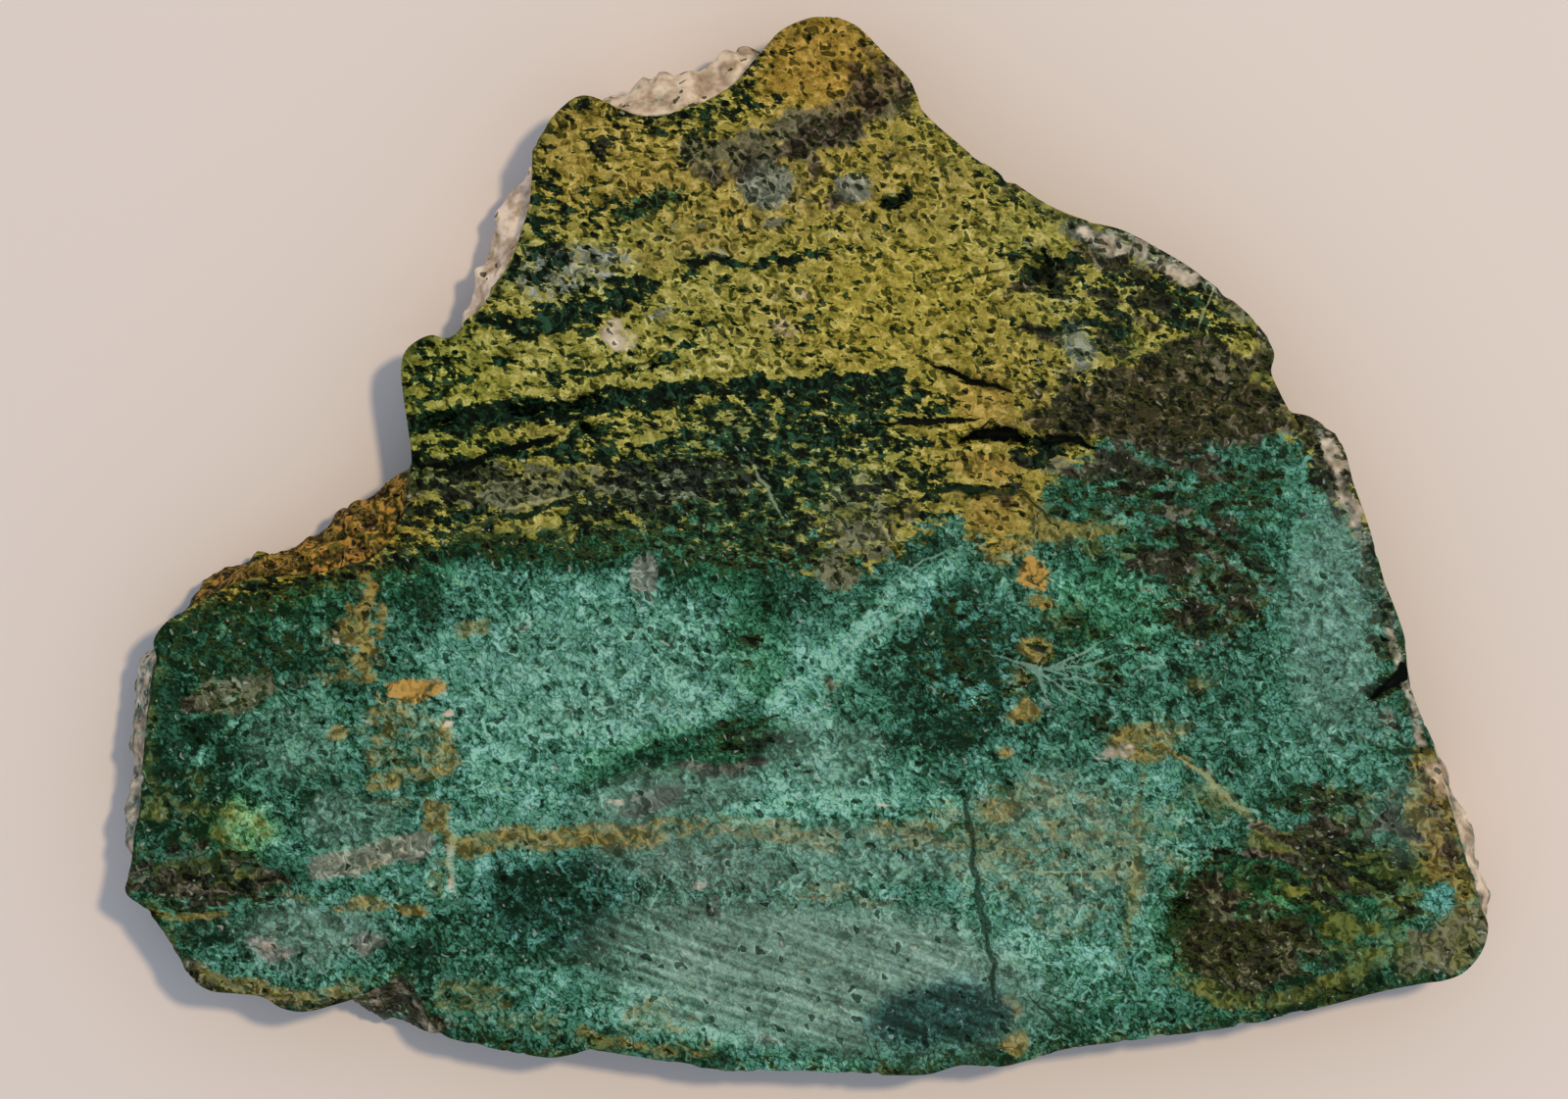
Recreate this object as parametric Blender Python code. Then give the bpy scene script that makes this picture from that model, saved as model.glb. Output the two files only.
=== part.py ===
"""A sawn slab of chrysocolla-bearing rock, in metres, +Z up, lying on its sawn back.

One solid: a flat sawn face, a broken natural rim with crusts and a ledge that stand out
below the face, a chipped notch in the lower edge, open cracks and small pits, and a flat
sawn back. The origin is on the plane of the back, under the middle of the slab's box.
"""

import math

import bmesh
import bpy
import numpy as np

MM = 0.001

# Driving dimensions, in millimetres
THICKNESS = 8.0
BOX_MIDDLE = (-0.02, -0.1)  # middle of the slab's box in the outline's own coordinates
RIM_POINTS = 300  # points around each ring of the rim
EDGE_CHIP = 0.16  # width of the worn edge round the sawn face
UNDERCUT = 0.8  # how far the bare rim leans in at the back
FOOT_CHIP = 0.3  # width of the worn edge round the back
FOOT_TAPER = 0.2  # share of a crust's reach that is gone again at the back
SMOOTH_REACH = 3.0  # half the length over which the outward direction is averaged
RING_DEPTHS = (0.0, 0.03, 0.1, 0.2, 0.33, 0.47, 0.62, 0.78, 0.95, 1.0)  # shares of the thickness

# Broken hollows all over the rim, and lumps on the crusts: how many, radius and relief in mm
SCOOPS = {"seed": 11, "count": 130, "radius": 3.6, "relief": 0.5}
SCOOP_DEPTH = 1.3
LUMPS = {"seed": 5, "count": 420, "radius": 1.3, "relief": 0.35}
LUMP_HEIGHT = 0.55

# The edge of the sawn face, clockwise from its top knob, as (x, y) in millimetres
TOP_KNOB = [(0.4, 34.8), (2.0, 34.8), (3.4, 34.0), (5.0, 32.4), (6.6, 30.8), (7.2, 29.6), (7.6, 28.6)]
LONG_SLOPE = [(8.9, 27.3), (11.0, 25.6), (14.0, 23.6), (16.2, 22.2), (18.6, 21.3), (20.8, 20.7), (23.6, 19.2),
              (26.2, 17.5), (28.4, 15.7), (30.0, 14.1)]
RIGHT_SHOULDER = [(30.7, 12.6), (30.5, 11.4), (31.0, 10.2), (31.8, 8.9), (33.2, 8.4), (34.7, 7.4), (35.4, 6.1),
                  (35.9, 4.1), (36.7, 1.9), (37.3, 0.0)]
RIGHT_FLANK = [(37.9, -2.2), (38.6, -4.0), (39.3, -6.2), (39.5, -8.3), (40.0, -10.3), (41.0, -12.7),
               (41.7, -15.0), (42.3, -17.2), (42.9, -19.4), (43.6, -21.7), (44.3, -23.7)]
LOWER_CORNER = [(44.8, -25.2), (44.4, -26.8), (43.3, -28.1), (41.9, -28.7), (40.4, -28.9)]
LOWER_EDGE = [(37.6, -29.5), (33.8, -30.5), (29.6, -31.5), (25.0, -32.2), (20.7, -32.7), (17.1, -33.2),
              (14.4, -34.0), (12.6, -34.4), (10.0, -34.3), (7.6, -34.9), (3.4, -34.9), (-0.8, -34.6),
              (-5.4, -34.7), (-8.4, -34.2), (-11.4, -33.7), (-14.2, -33.3), (-15.6, -33.6), (-17.2, -33.8),
              (-20.2, -33.3), (-23.0, -32.7), (-24.5, -32.1)]
LOWER_NOTCH = [(-25.2, -31.0), (-25.8, -29.4), (-26.8, -28.4), (-28.0, -29.0), (-29.6, -29.8)]
LEFT_LOBE = [(-31.4, -30.4), (-33.2, -30.8), (-34.7, -30.5), (-35.9, -29.8), (-37.6, -29.6), (-39.4, -29.4),
             (-40.7, -28.5), (-41.6, -27.0), (-42.7, -25.2), (-44.0, -23.8), (-45.0, -22.8)]
LEFT_FLANK = [(-44.6, -21.0), (-44.3, -19.0), (-44.0, -17.0), (-43.9, -15.0), (-43.7, -13.0), (-43.5, -11.0),
              (-43.3, -9.2), (-42.9, -7.6), (-43.1, -6.3), (-42.2, -5.0), (-40.4, -3.9), (-38.6, -2.9)]
BROWN_LEDGE = [(-36.8, -2.2), (-34.8, -2.1), (-32.6, -2.0), (-30.4, -1.4), (-28.6, -0.8), (-27.5, 0.3),
               (-26.8, 2.0), (-26.3, 3.8)]
LEFT_STEP = [(-26.1, 5.6), (-26.3, 7.4), (-26.6, 9.4), (-26.8, 11.3), (-26.6, 12.6), (-25.8, 13.4),
             (-24.8, 13.8), (-23.9, 13.6), (-23.1, 14.0), (-22.5, 14.9), (-21.4, 16.1)]
UPPER_LEFT = [(-20.3, 17.4), (-19.5, 18.8), (-18.9, 20.6), (-18.4, 22.4), (-18.2, 24.6), (-18.1, 26.3),
              (-17.3, 27.6), (-16.2, 28.8), (-15.2, 29.5), (-14.2, 29.5)]
QUARTZ_STRETCH = [(-12.8, 28.9), (-11.4, 28.3), (-9.6, 28.2), (-8.0, 28.7), (-6.4, 29.4), (-5.0, 30.3),
                  (-4.0, 31.4), (-2.9, 32.7), (-1.6, 34.0)]
FACE_EDGE = (TOP_KNOB + LONG_SLOPE + RIGHT_SHOULDER + RIGHT_FLANK + LOWER_CORNER + LOWER_EDGE + LOWER_NOTCH
             + LEFT_LOBE + LEFT_FLANK + BROWN_LEDGE + LEFT_STEP + UPPER_LEFT + QUARTZ_STRETCH)

# The crusts' outer lines, clockwise, from one place on the face's edge to another. The number
# is the share of the thickness over which the surface slopes out from the face to the line.
CRUSTS = {
    "quartz_crust": (0.36, [(-14.2, 29.5), (-13.2, 30.1), (-12.1, 30.1), (-10.8, 30.8), (-9.8, 31.2), (-8.9, 31.1),
                            (-8.1, 31.5), (-7.3, 31.5), (-6.4, 32.1), (-5.6, 33.0), (-4.9, 32.8), (-4.0, 32.8),
                            (-2.6, 33.0)]),
    "right_rind": (0.3, [(41.2, -13.3), (41.9, -14.4), (42.6, -15.8), (43.2, -17.5), (44.0, -19.4), (44.6, -21.5),
                         (45.2, -23.4), (45.4, -25.0), (45.1, -26.3), (44.2, -27.3)]),
    "notch_break": (0.75, [(-23.9, -32.4), (-25.2, -32.7), (-26.3, -32.5), (-27.4, -32.1), (-28.4, -31.8),
                           (-29.2, -31.4), (-30.1, -30.9), (-31.2, -30.4)]),
    "left_rind": (0.4, [(-45.0, -22.8), (-45.1, -20.5), (-45.1, -19.0), (-45.1, -17.5), (-45.0, -15.4),
                        (-44.8, -13.2), (-44.6, -11.0), (-44.2, -9.2), (-43.8, -7.4), (-43.1, -6.2)]),
    "brown_ledge": (0.26, [(-43.0, -5.8), (-42.5, -4.6), (-41.4, -3.6), (-40.3, -2.5), (-39.1, -1.7),
                           (-38.0, -1.1), (-36.9, -0.6), (-36.0, -0.7), (-35.4, -0.3), (-34.5, 0.5), (-33.2, 1.0),
                           (-32.3, 1.5), (-31.4, 2.1), (-30.1, 2.7), (-29.2, 3.0), (-28.5, 3.8), (-27.6, 4.5),
                           (-26.7, 5.0), (-26.1, 5.6)]),
    "tan_crust": (0.42, [(-23.1, 14.0), (-22.9, 15.7), (-22.4, 16.8), (-21.8, 17.8), (-21.3, 19.0), (-20.8, 20.0),
                         (-20.3, 21.2), (-20.1, 22.5), (-19.8, 23.8), (-19.2, 24.7), (-18.1, 25.6)]),
}

# Open cracks in the face: (x, y, half width) along each, and the depth, in millimetres
CRACKS = {
    "upper_crack": ([(8.1, 11.7, 0.08), (9.4, 11.5, 0.2), (10.4, 10.8, 0.24), (11.9, 10.5, 0.2),
                     (13.4, 10.1, 0.08)], 1.2),
    "wide_crack": ([(10.0, 6.8, 0.08), (10.9, 7.2, 0.34), (12.3, 7.3, 0.4), (13.4, 7.2, 0.34), (14.4, 6.9, 0.1)], 2.2),
    "thin_crack": ([(4.3, 7.8, 0.08), (6.5, 8.2, 0.2), (8.5, 8.0, 0.2), (11.0, 8.2, 0.08)], 1.0),
    "end_crack": ([(15.4, 6.5, 0.08), (16.5, 6.9, 0.3), (17.7, 6.8, 0.26), (19.0, 6.3, 0.08)], 1.4),
    "left_crack": ([(-25.8, 5.3, 0.1), (-24.3, 5.1, 0.26), (-22.6, 5.1, 0.3), (-20.9, 6.0, 0.26),
                    (-18.7, 6.4, 0.3), (-16.5, 7.0, 0.1)], 1.2),
    "flank_wedge": ([(37.2, -10.0, 0.1), (38.1, -9.2, 0.36), (39.3, -8.4, 0.5)], 1.2),
}

# Pits in the face: (x, y, half length, half width, turn in degrees, depth), in millimetres
PITS = {
    "lens_pit": (5.7, 22.6, 1.35, 0.42, 14, 0.9),
    "crystal_pit": (15.4, 18.2, 0.9, 1.7, 24, 1.1),
    "tunnel_west": (-18.5, 8.9, 1.5, 0.5, 3, 1.2),
    "tunnel_east": (-15.1, 9.4, 1.7, 0.5, 5, 1.1),
    "band_pit_1": (-24.1, 8.4, 1.1, 0.6, 0, 1.2),
    "band_pit_2": (-14.4, 7.8, 0.6, 0.4, -10, 0.9),
    "band_pit_3": (-10.3, 5.1, 0.75, 0.42, -20, 0.9),
    "knob_pit": (-25.3, 12.2, 0.75, 0.35, 5, 0.7),
    "row_pit_1": (-19.7, 12.5, 0.75, 0.36, 18, 0.7),
    "row_pit_2": (-12.1, 11.5, 0.7, 0.36, 10, 0.7),
    "row_pit_3": (-10.3, 12.0, 0.7, 0.36, 10, 0.7),
    "lower_lens_1": (-3.1, -13.2, 0.62, 0.42, -20, 0.8),
    "lower_lens_2": (-5.3, -13.3, 0.42, 0.3, 10, 0.6),
    "corner_pit_1": (24.1, -21.8, 0.45, 0.7, -15, 0.8),
    "corner_pit_2": (24.9, -23.8, 0.6, 0.9, -35, 0.9),
    "flank_pit_1": (37.2, -3.5, 0.55, 0.34, -30, 0.7),
    "flank_pit_2": (38.3, -6.4, 0.55, 0.4, -20, 0.8),
}
PIT_DETAIL = 2  # subdivisions of each pit's rounded cutter
CUTTER_RISE = 0.6  # how far a crack's cutter stands above the face


def remove_everything():
    for old in list(bpy.data.objects):
        bpy.data.objects.remove(old)


def smoothstep(x):
    x = np.clip(x, 0, 1)
    return x * x * (3 - 2 * x)


def closed_curve(points, steps=24):
    """A closed Catmull-Rom curve through the points, sampled `steps` times between each two."""
    p = np.array(points, float)
    before, after, far = np.roll(p, 1, 0), np.roll(p, -1, 0), np.roll(p, -2, 0)
    s = (np.arange(steps) / steps)[None, :, None]
    a, b, c, d = (q[:, None, :] for q in (before, p, after, far))
    curve = 0.5 * (2 * b + (c - a) * s + (2 * a - 5 * b + 4 * c - d) * s**2 + (3 * b - a - 3 * c + d) * s**3)
    return curve.reshape(-1, 2)


def distances_along(line):
    """The distance along a line of points, from its start to each of its points."""
    return np.concatenate([[0], np.cumsum(np.linalg.norm(np.diff(line, axis=0), axis=1))])


def points_at(line, share):
    """The points at the given shares of a line's length."""
    along = distances_along(line)
    return np.stack([np.interp(share * along[-1], along, line[:, k]) for k in (0, 1)], 1)


def outward_directions(edge, length):
    """Unit normals of the edge after averaging it over SMOOTH_REACH to each side."""
    half = max(1, round(SMOOTH_REACH / length * len(edge)))
    shifts = range(-half, half + 1)
    smooth = sum(np.roll(edge, k, 0) for k in shifts) / len(shifts)
    along = np.roll(smooth, -1, 0) - np.roll(smooth, 1, 0)
    normal = np.stack([-along[:, 1], along[:, 0]], 1)  # the edge runs clockwise
    return normal / np.linalg.norm(normal, axis=1, keepdims=True)


def crust_reach(edge, line):
    """The step from each point of the edge out to a crust's line, nothing beyond the line's ends."""
    share = np.arange(len(edge)) / len(edge)
    line = np.array(line, float)
    first, last = (share[np.argmin(np.linalg.norm(edge - end, axis=1))] for end in (line[0], line[-1]))
    across = ((share - first) % 1) / ((last - first) % 1)
    inside = (across <= 1)[:, None]
    return np.where(inside, points_at(line, np.minimum(across, 1)) - edge, 0)


def dished(along, depth, length, seed, count, radius, relief):
    """Dished hollows that meet in sharp ridges: the lowest of many upward paraboloids around seeded centres."""
    rng = np.random.default_rng(seed)
    centres = rng.uniform((0, -1), (length, THICKNESS + 1), (count, 2))
    floors = rng.uniform(0, relief, count)
    sideways = np.abs(along[:, None] - centres[:, 0])
    sideways = np.minimum(sideways, length - sideways)
    squared = sideways**2 + (depth * THICKNESS - centres[:, 1]) ** 2
    return (floors + squared / (2 * radius)).min(1)


def ring(edge, out, length, reaches, depth):
    """The rim's outline at a share of the thickness below the face."""
    along = np.arange(len(edge)) / len(edge) * length
    step = np.zeros_like(edge)
    crusted = np.zeros(len(edge))
    for slope, reach in reaches:
        step += reach * smoothstep(depth / slope) * (1 - FOOT_TAPER * depth**2)
        crusted = np.maximum(crusted, smoothstep(np.linalg.norm(reach, axis=1)))
    below_edge = smoothstep(depth / RING_DEPTHS[2])
    hollow = np.minimum(dished(along, depth, length, **SCOOPS) - SCOOP_DEPTH, 0)
    lump = np.maximum(LUMP_HEIGHT - dished(along, depth, length, **LUMPS), 0) * crusted
    worn = EDGE_CHIP * (depth == RING_DEPTHS[0]) + FOOT_CHIP * (depth == RING_DEPTHS[-1])
    offset = (hollow + lump) * below_edge - UNDERCUT * depth**1.5 * (1 - crusted) - worn
    return edge + step + out * offset[:, None]


def slab_mesh():
    """The closed body: the face and the back as one flat polygon each, and rings of quads between them."""
    curve = closed_curve(FACE_EDGE)
    curve = np.vstack([curve, curve[:1]])
    length = distances_along(curve)[-1]
    edge = points_at(curve, np.arange(RIM_POINTS) / RIM_POINTS)
    out = outward_directions(edge, length)
    reaches = [(slope, crust_reach(edge, line)) for slope, line in CRUSTS.values()]
    bm = bmesh.new()
    rings = []
    for depth in RING_DEPTHS:
        points = ring(edge, out, length, reaches, depth) - BOX_MIDDLE
        height = THICKNESS * (1 - depth)
        rings.append([bm.verts.new((x * MM, y * MM, height * MM)) for x, y in points])
    bm.faces.new(rings[0])
    bm.faces.new(rings[-1])
    for upper, lower in zip(rings, rings[1:]):
        for i in range(RIM_POINTS):
            j = (i + 1) % RIM_POINTS
            bm.faces.new((upper[i], upper[j], lower[j], lower[i]))
    bmesh.ops.recalc_face_normals(bm, faces=bm.faces)
    mesh = bpy.data.meshes.new("chrysocolla_slab")
    bm.to_mesh(mesh)
    bm.free()
    return mesh


def add_cutter(name, bm, cutters):
    """Keeps the bmesh as a wire-drawn helper that cuts the slab and isn't rendered."""
    bmesh.ops.recalc_face_normals(bm, faces=bm.faces)
    mesh = bpy.data.meshes.new(name)
    bm.to_mesh(mesh)
    bm.free()
    cutter = bpy.data.objects.new(name, mesh)
    cutter.hide_render = True
    cutter.display_type = "WIRE"
    cutters.objects.link(cutter)
    return cutter


def crack_cutter(name, line, depth, cutters):
    """A V-shaped groove that follows the crack's line, wide at the face and sharp at its bottom."""
    points = np.array(line, float)
    along = np.gradient(points[:, :2], axis=0)
    side = np.stack([-along[:, 1], along[:, 0]], 1) / np.linalg.norm(along, axis=1, keepdims=True)
    flare = (depth + CUTTER_RISE) / depth
    top, bottom = THICKNESS + CUTTER_RISE, THICKNESS - depth
    bm = bmesh.new()
    sections = []
    for (x, y, half), (sx, sy) in zip(points - (*BOX_MIDDLE, 0), side):
        wide = half * flare
        corners = [(x + sx * wide, y + sy * wide, top), (x - sx * wide, y - sy * wide, top), (x, y, bottom)]
        sections.append([bm.verts.new([value * MM for value in corner]) for corner in corners])
    bm.faces.new(sections[0])
    bm.faces.new(sections[-1])
    for a, b in zip(sections, sections[1:]):
        for i in range(3):
            j = (i + 1) % 3
            bm.faces.new((a[i], a[j], b[j], b[i]))
    add_cutter(name, bm, cutters)


def pit_cutter(name, x, y, half_length, half_width, turn, depth, cutters):
    """A rounded cutter, as long and wide as the pit at the face, that reaches `depth` below it."""
    bm = bmesh.new()
    bmesh.ops.create_icosphere(bm, subdivisions=PIT_DETAIL, radius=MM)
    cutter = add_cutter(name, bm, cutters)
    cutter.scale = (half_length, half_width, depth)
    cutter.rotation_euler = (0, 0, math.radians(turn))
    cutter.location = ((x - BOX_MIDDLE[0]) * MM, (y - BOX_MIDDLE[1]) * MM, THICKNESS * MM)


def stone_material():
    stone = bpy.data.materials.new("sawn_chrysocolla")
    stone.use_nodes = True
    shader = stone.node_tree.nodes["Principled BSDF"]
    shader.inputs["Base Color"].default_value = (0.07, 0.19, 0.13, 1)
    shader.inputs["Roughness"].default_value = 0.45
    shader.inputs["Metallic"].default_value = 0.0
    return stone


def main():
    remove_everything()
    slab = bpy.data.objects.new("chrysocolla_slab", slab_mesh())
    slab.data.materials.append(stone_material())
    bpy.context.scene.collection.objects.link(slab)

    cutters = bpy.data.collections.new("cutters")
    bpy.context.scene.collection.children.link(cutters)
    for name, (line, depth) in CRACKS.items():
        crack_cutter(name, line, depth, cutters)
    for name, (x, y, half_length, half_width, turn, depth) in PITS.items():
        pit_cutter(name, x, y, half_length, half_width, turn, depth, cutters)

    cut = slab.modifiers.new("cracks_and_pits", "BOOLEAN")
    cut.operation = "DIFFERENCE"
    cut.operand_type = "COLLECTION"
    cut.collection = cutters
    cut.solver = "EXACT"


main()
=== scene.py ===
# %% [markdown]
# # A sawn slab of chrysocolla rock
#
# The real object is one piece of stone, about 90 by 70 by 8 mm: a flat sawn face with a teal body
# below and a mustard, pitted zone above, open cracks, and a natural broken rim with pale crusts.
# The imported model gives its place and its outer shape. This lesson makes the fine surface of it:
# one closed mesh, its markings and its material.

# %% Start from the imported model
import math

import bpy
import numpy as np
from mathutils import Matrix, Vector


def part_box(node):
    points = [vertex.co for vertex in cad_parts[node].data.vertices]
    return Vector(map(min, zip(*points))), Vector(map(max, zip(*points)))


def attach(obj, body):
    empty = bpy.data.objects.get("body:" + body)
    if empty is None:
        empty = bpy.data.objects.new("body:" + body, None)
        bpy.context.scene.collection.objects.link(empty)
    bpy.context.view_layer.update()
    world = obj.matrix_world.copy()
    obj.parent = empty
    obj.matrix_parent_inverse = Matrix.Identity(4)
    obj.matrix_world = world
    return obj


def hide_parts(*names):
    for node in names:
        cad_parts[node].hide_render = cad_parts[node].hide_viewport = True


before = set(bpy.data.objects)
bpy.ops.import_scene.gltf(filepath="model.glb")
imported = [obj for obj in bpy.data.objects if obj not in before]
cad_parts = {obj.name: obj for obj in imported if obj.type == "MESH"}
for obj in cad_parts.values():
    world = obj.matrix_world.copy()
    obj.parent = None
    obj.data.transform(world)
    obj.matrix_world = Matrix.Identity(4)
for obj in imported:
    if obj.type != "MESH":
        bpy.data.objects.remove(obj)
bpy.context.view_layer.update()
slab_low, slab_high = (np.array(corner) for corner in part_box("chrysocolla_slab"))
print("slab box, mm:", np.round((slab_high - slab_low) * 1000, 1))

# %% [markdown]
# ## Driving sizes
#
# Everything is in millimetres until a mesh is made. The outline's own coordinates differ from the
# frame's by the small step `BOX_MIDDLE`, because the frame's origin is under the middle of the box.

# %% Driving sizes
MM = 0.001
THICKNESS = (slab_high[2] - slab_low[2]) / MM
BOX_MIDDLE = np.array([-0.02, -0.1])
FACE_CELLS = 252  # cells along each side of the face's grid: a multiple of 4
BACK_CELLS = FACE_CELLS // 2
FACE_MIDDLE = np.array([0.4, -5.5])  # every edge point is seen from here in a straight line
print("thickness, mm:", round(float(THICKNESS), 2), "face cells:", FACE_CELLS**2)

# %% [markdown]
# ## The outline
#
# A sawn slab's outline is whatever the rock's was. It has no formula, so it is a smooth closed
# curve through listed points, clockwise from the top knob. The crusts stand out below the
# face, so each has a line of its own and the share of the thickness over which it slopes out.

# %% The edge of the sawn face
TOP_KNOB = [(0.4, 34.8), (2.0, 34.8), (3.4, 34.0), (5.0, 32.4), (6.6, 30.8), (7.2, 29.6), (7.6, 28.6)]
LONG_SLOPE = [(8.9, 27.3), (11.0, 25.6), (14.0, 23.6), (16.2, 22.2), (18.6, 21.3), (20.8, 20.7), (23.6, 19.2),
              (26.2, 17.5), (28.4, 15.7), (30.0, 14.1)]
RIGHT_SHOULDER = [(30.7, 12.6), (30.5, 11.4), (31.0, 10.2), (31.8, 8.9), (33.2, 8.4), (34.7, 7.4),
                  (35.4, 6.1), (35.9, 4.1), (36.7, 1.9), (37.3, 0.0)]
RIGHT_FLANK = [(37.9, -2.2), (38.6, -4.0), (39.3, -6.2), (39.5, -8.3), (40.0, -10.3), (41.0, -12.7),
               (41.7, -15.0), (42.3, -17.2), (42.9, -19.4), (43.6, -21.7), (44.3, -23.7)]
LOWER_CORNER = [(44.8, -25.2), (44.4, -26.8), (43.3, -28.1), (41.9, -28.7), (40.4, -28.9)]
LOWER_EDGE = [(37.6, -29.5), (33.8, -30.5), (29.6, -31.5), (25.0, -32.2), (20.7, -32.7), (17.1, -33.2),
              (14.4, -34.0), (12.6, -34.4), (10.0, -34.3), (7.6, -34.9), (3.4, -34.9), (-0.8, -34.6),
              (-5.4, -34.7), (-8.4, -34.2), (-11.4, -33.7), (-14.2, -33.3), (-15.6, -33.6), (-17.2, -33.8),
              (-20.2, -33.3), (-23.0, -32.7), (-24.5, -32.1)]
LOWER_NOTCH = [(-25.2, -31.0), (-25.8, -29.4), (-26.8, -28.4), (-28.0, -29.0), (-29.6, -29.8)]
LEFT_LOBE = [(-31.4, -30.4), (-33.2, -30.8), (-34.7, -30.5), (-35.9, -29.8), (-37.6, -29.6), (-39.4, -29.4),
             (-40.7, -28.5), (-41.6, -27.0), (-42.7, -25.2), (-44.0, -23.8), (-45.0, -22.8)]
LEFT_FLANK = [(-44.6, -21.0), (-44.3, -19.0), (-44.0, -17.0), (-43.9, -15.0), (-43.7, -13.0), (-43.5, -11.0),
              (-43.3, -9.2), (-42.9, -7.6), (-43.1, -6.3), (-42.2, -5.0), (-40.4, -3.9), (-38.6, -2.9)]
BROWN_LEDGE = [(-36.8, -2.2), (-34.8, -2.1), (-32.6, -2.0), (-30.4, -1.4), (-28.6, -0.8), (-27.5, 0.3),
               (-26.8, 2.0), (-26.3, 3.8)]
LEFT_STEP = [(-26.1, 5.6), (-26.3, 7.4), (-26.6, 9.4), (-26.8, 11.3), (-26.6, 12.6), (-25.8, 13.4),
             (-24.8, 13.8), (-23.9, 13.6), (-23.1, 14.0), (-22.5, 14.9), (-21.4, 16.1)]
UPPER_LEFT = [(-20.3, 17.4), (-19.5, 18.8), (-18.9, 20.6), (-18.4, 22.4), (-18.2, 24.6), (-18.1, 26.3),
              (-17.3, 27.6), (-16.2, 28.8), (-15.2, 29.5), (-14.2, 29.5)]
QUARTZ_STRETCH = [(-12.8, 28.9), (-11.4, 28.3), (-9.6, 28.2), (-8.0, 28.7), (-6.4, 29.4), (-5.0, 30.3),
                  (-4.0, 31.4), (-2.9, 32.7), (-1.6, 34.0)]
FACE_EDGE = (TOP_KNOB + LONG_SLOPE + RIGHT_SHOULDER + RIGHT_FLANK + LOWER_CORNER + LOWER_EDGE + LOWER_NOTCH
             + LEFT_LOBE + LEFT_FLANK + BROWN_LEDGE + LEFT_STEP + UPPER_LEFT + QUARTZ_STRETCH)

CRUSTS = {  # share of the thickness over which the crust slopes out, and its line
    "quartz_crust": (0.36, [(-14.2, 29.5), (-13.2, 30.1), (-12.1, 30.1), (-10.8, 30.8), (-9.8, 31.2),
                            (-8.9, 31.1), (-8.1, 31.5), (-7.3, 31.5), (-6.4, 32.1), (-5.6, 33.0),
                            (-4.9, 32.8), (-4.0, 32.8), (-2.6, 33.0)]),
    "right_rind": (0.3, [(41.2, -13.3), (41.9, -14.4), (42.6, -15.8), (43.2, -17.5), (44.0, -19.4),
                         (44.6, -21.5), (45.2, -23.4), (45.4, -25.0), (45.1, -26.3), (44.2, -27.3)]),
    "notch_break": (0.75, [(-23.9, -32.4), (-25.2, -32.7), (-26.3, -32.5), (-27.4, -32.1), (-28.4, -31.8),
                           (-29.2, -31.4), (-30.1, -30.9), (-31.2, -30.4)]),
    "left_rind": (0.4, [(-45.0, -22.8), (-45.1, -20.5), (-45.1, -19.0), (-45.1, -17.5), (-45.0, -15.4),
                        (-44.8, -13.2), (-44.6, -11.0), (-44.2, -9.2), (-43.8, -7.4), (-43.1, -6.2)]),
    "brown_ledge": (0.26, [(-43.0, -5.8), (-42.5, -4.6), (-41.4, -3.6), (-40.3, -2.5), (-39.1, -1.7),
                           (-38.0, -1.1), (-36.9, -0.6), (-36.0, -0.7), (-35.4, -0.3), (-34.5, 0.5),
                           (-33.2, 1.0), (-32.3, 1.5), (-31.4, 2.1), (-30.1, 2.7), (-29.2, 3.0), (-28.5, 3.8),
                           (-27.6, 4.5), (-26.7, 5.0), (-26.1, 5.6)]),
    "tan_crust": (0.42, [(-23.1, 14.0), (-22.9, 15.7), (-22.4, 16.8), (-21.8, 17.8), (-21.3, 19.0),
                         (-20.8, 20.0), (-20.3, 21.2), (-20.1, 22.5), (-19.8, 23.8), (-19.2, 24.7),
                         (-18.1, 25.6)]),
}
print("edge points:", len(FACE_EDGE), "crusts:", list(CRUSTS))

# %% [markdown]
# ## Helpers for shape and noise
#
# The rock's irregular parts need smooth random fields. `cloud` is value noise: random numbers on
# the corners of a lattice, blended in each cell by an S-curve along x, y and z. A sum of finer and
# weaker clouds gives `rough`, which looks broken at every size, as rock does.


# %% Curves
def smoothstep(x):
    """The S-curve 3x squared minus 2x cubed between 0 and 1."""
    x = np.clip(x, 0, 1)
    return x * x * (3 - 2 * x)


def closed_curve(points, steps=24):
    """A closed Catmull-Rom curve through the points, sampled `steps` times between each two."""
    p = np.array(points, float)
    before, after, far = np.roll(p, 1, 0), np.roll(p, -1, 0), np.roll(p, -2, 0)
    s = (np.arange(steps) / steps)[None, :, None]
    a, b, c, d = (q[:, None, :] for q in (before, p, after, far))
    curve = 0.5 * (2 * b + (c - a) * s + (2 * a - 5 * b + 4 * c - d) * s**2 + (3 * b - a - 3 * c + d) * s**3)
    return curve.reshape(-1, 2)


def distances_along(line):
    """The distance along a line of points, from its start to each of its points."""
    return np.concatenate([[0], np.cumsum(np.linalg.norm(np.diff(line, axis=0), axis=1))])


def points_at(line, share):
    """The points at the given shares of a line's length."""
    along = distances_along(line)
    return np.stack([np.interp(share * along[-1], along, line[:, k]) for k in (0, 1)], -1)


edge_curve = closed_curve(FACE_EDGE)
edge_curve = np.vstack([edge_curve, edge_curve[:1]])
EDGE_LENGTH = distances_along(edge_curve)[-1]
print("length of the edge, mm:", round(float(EDGE_LENGTH), 1))

# %% Noise
LATTICE = 32  # cells along each side of the noise's lattice, which then repeats


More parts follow.
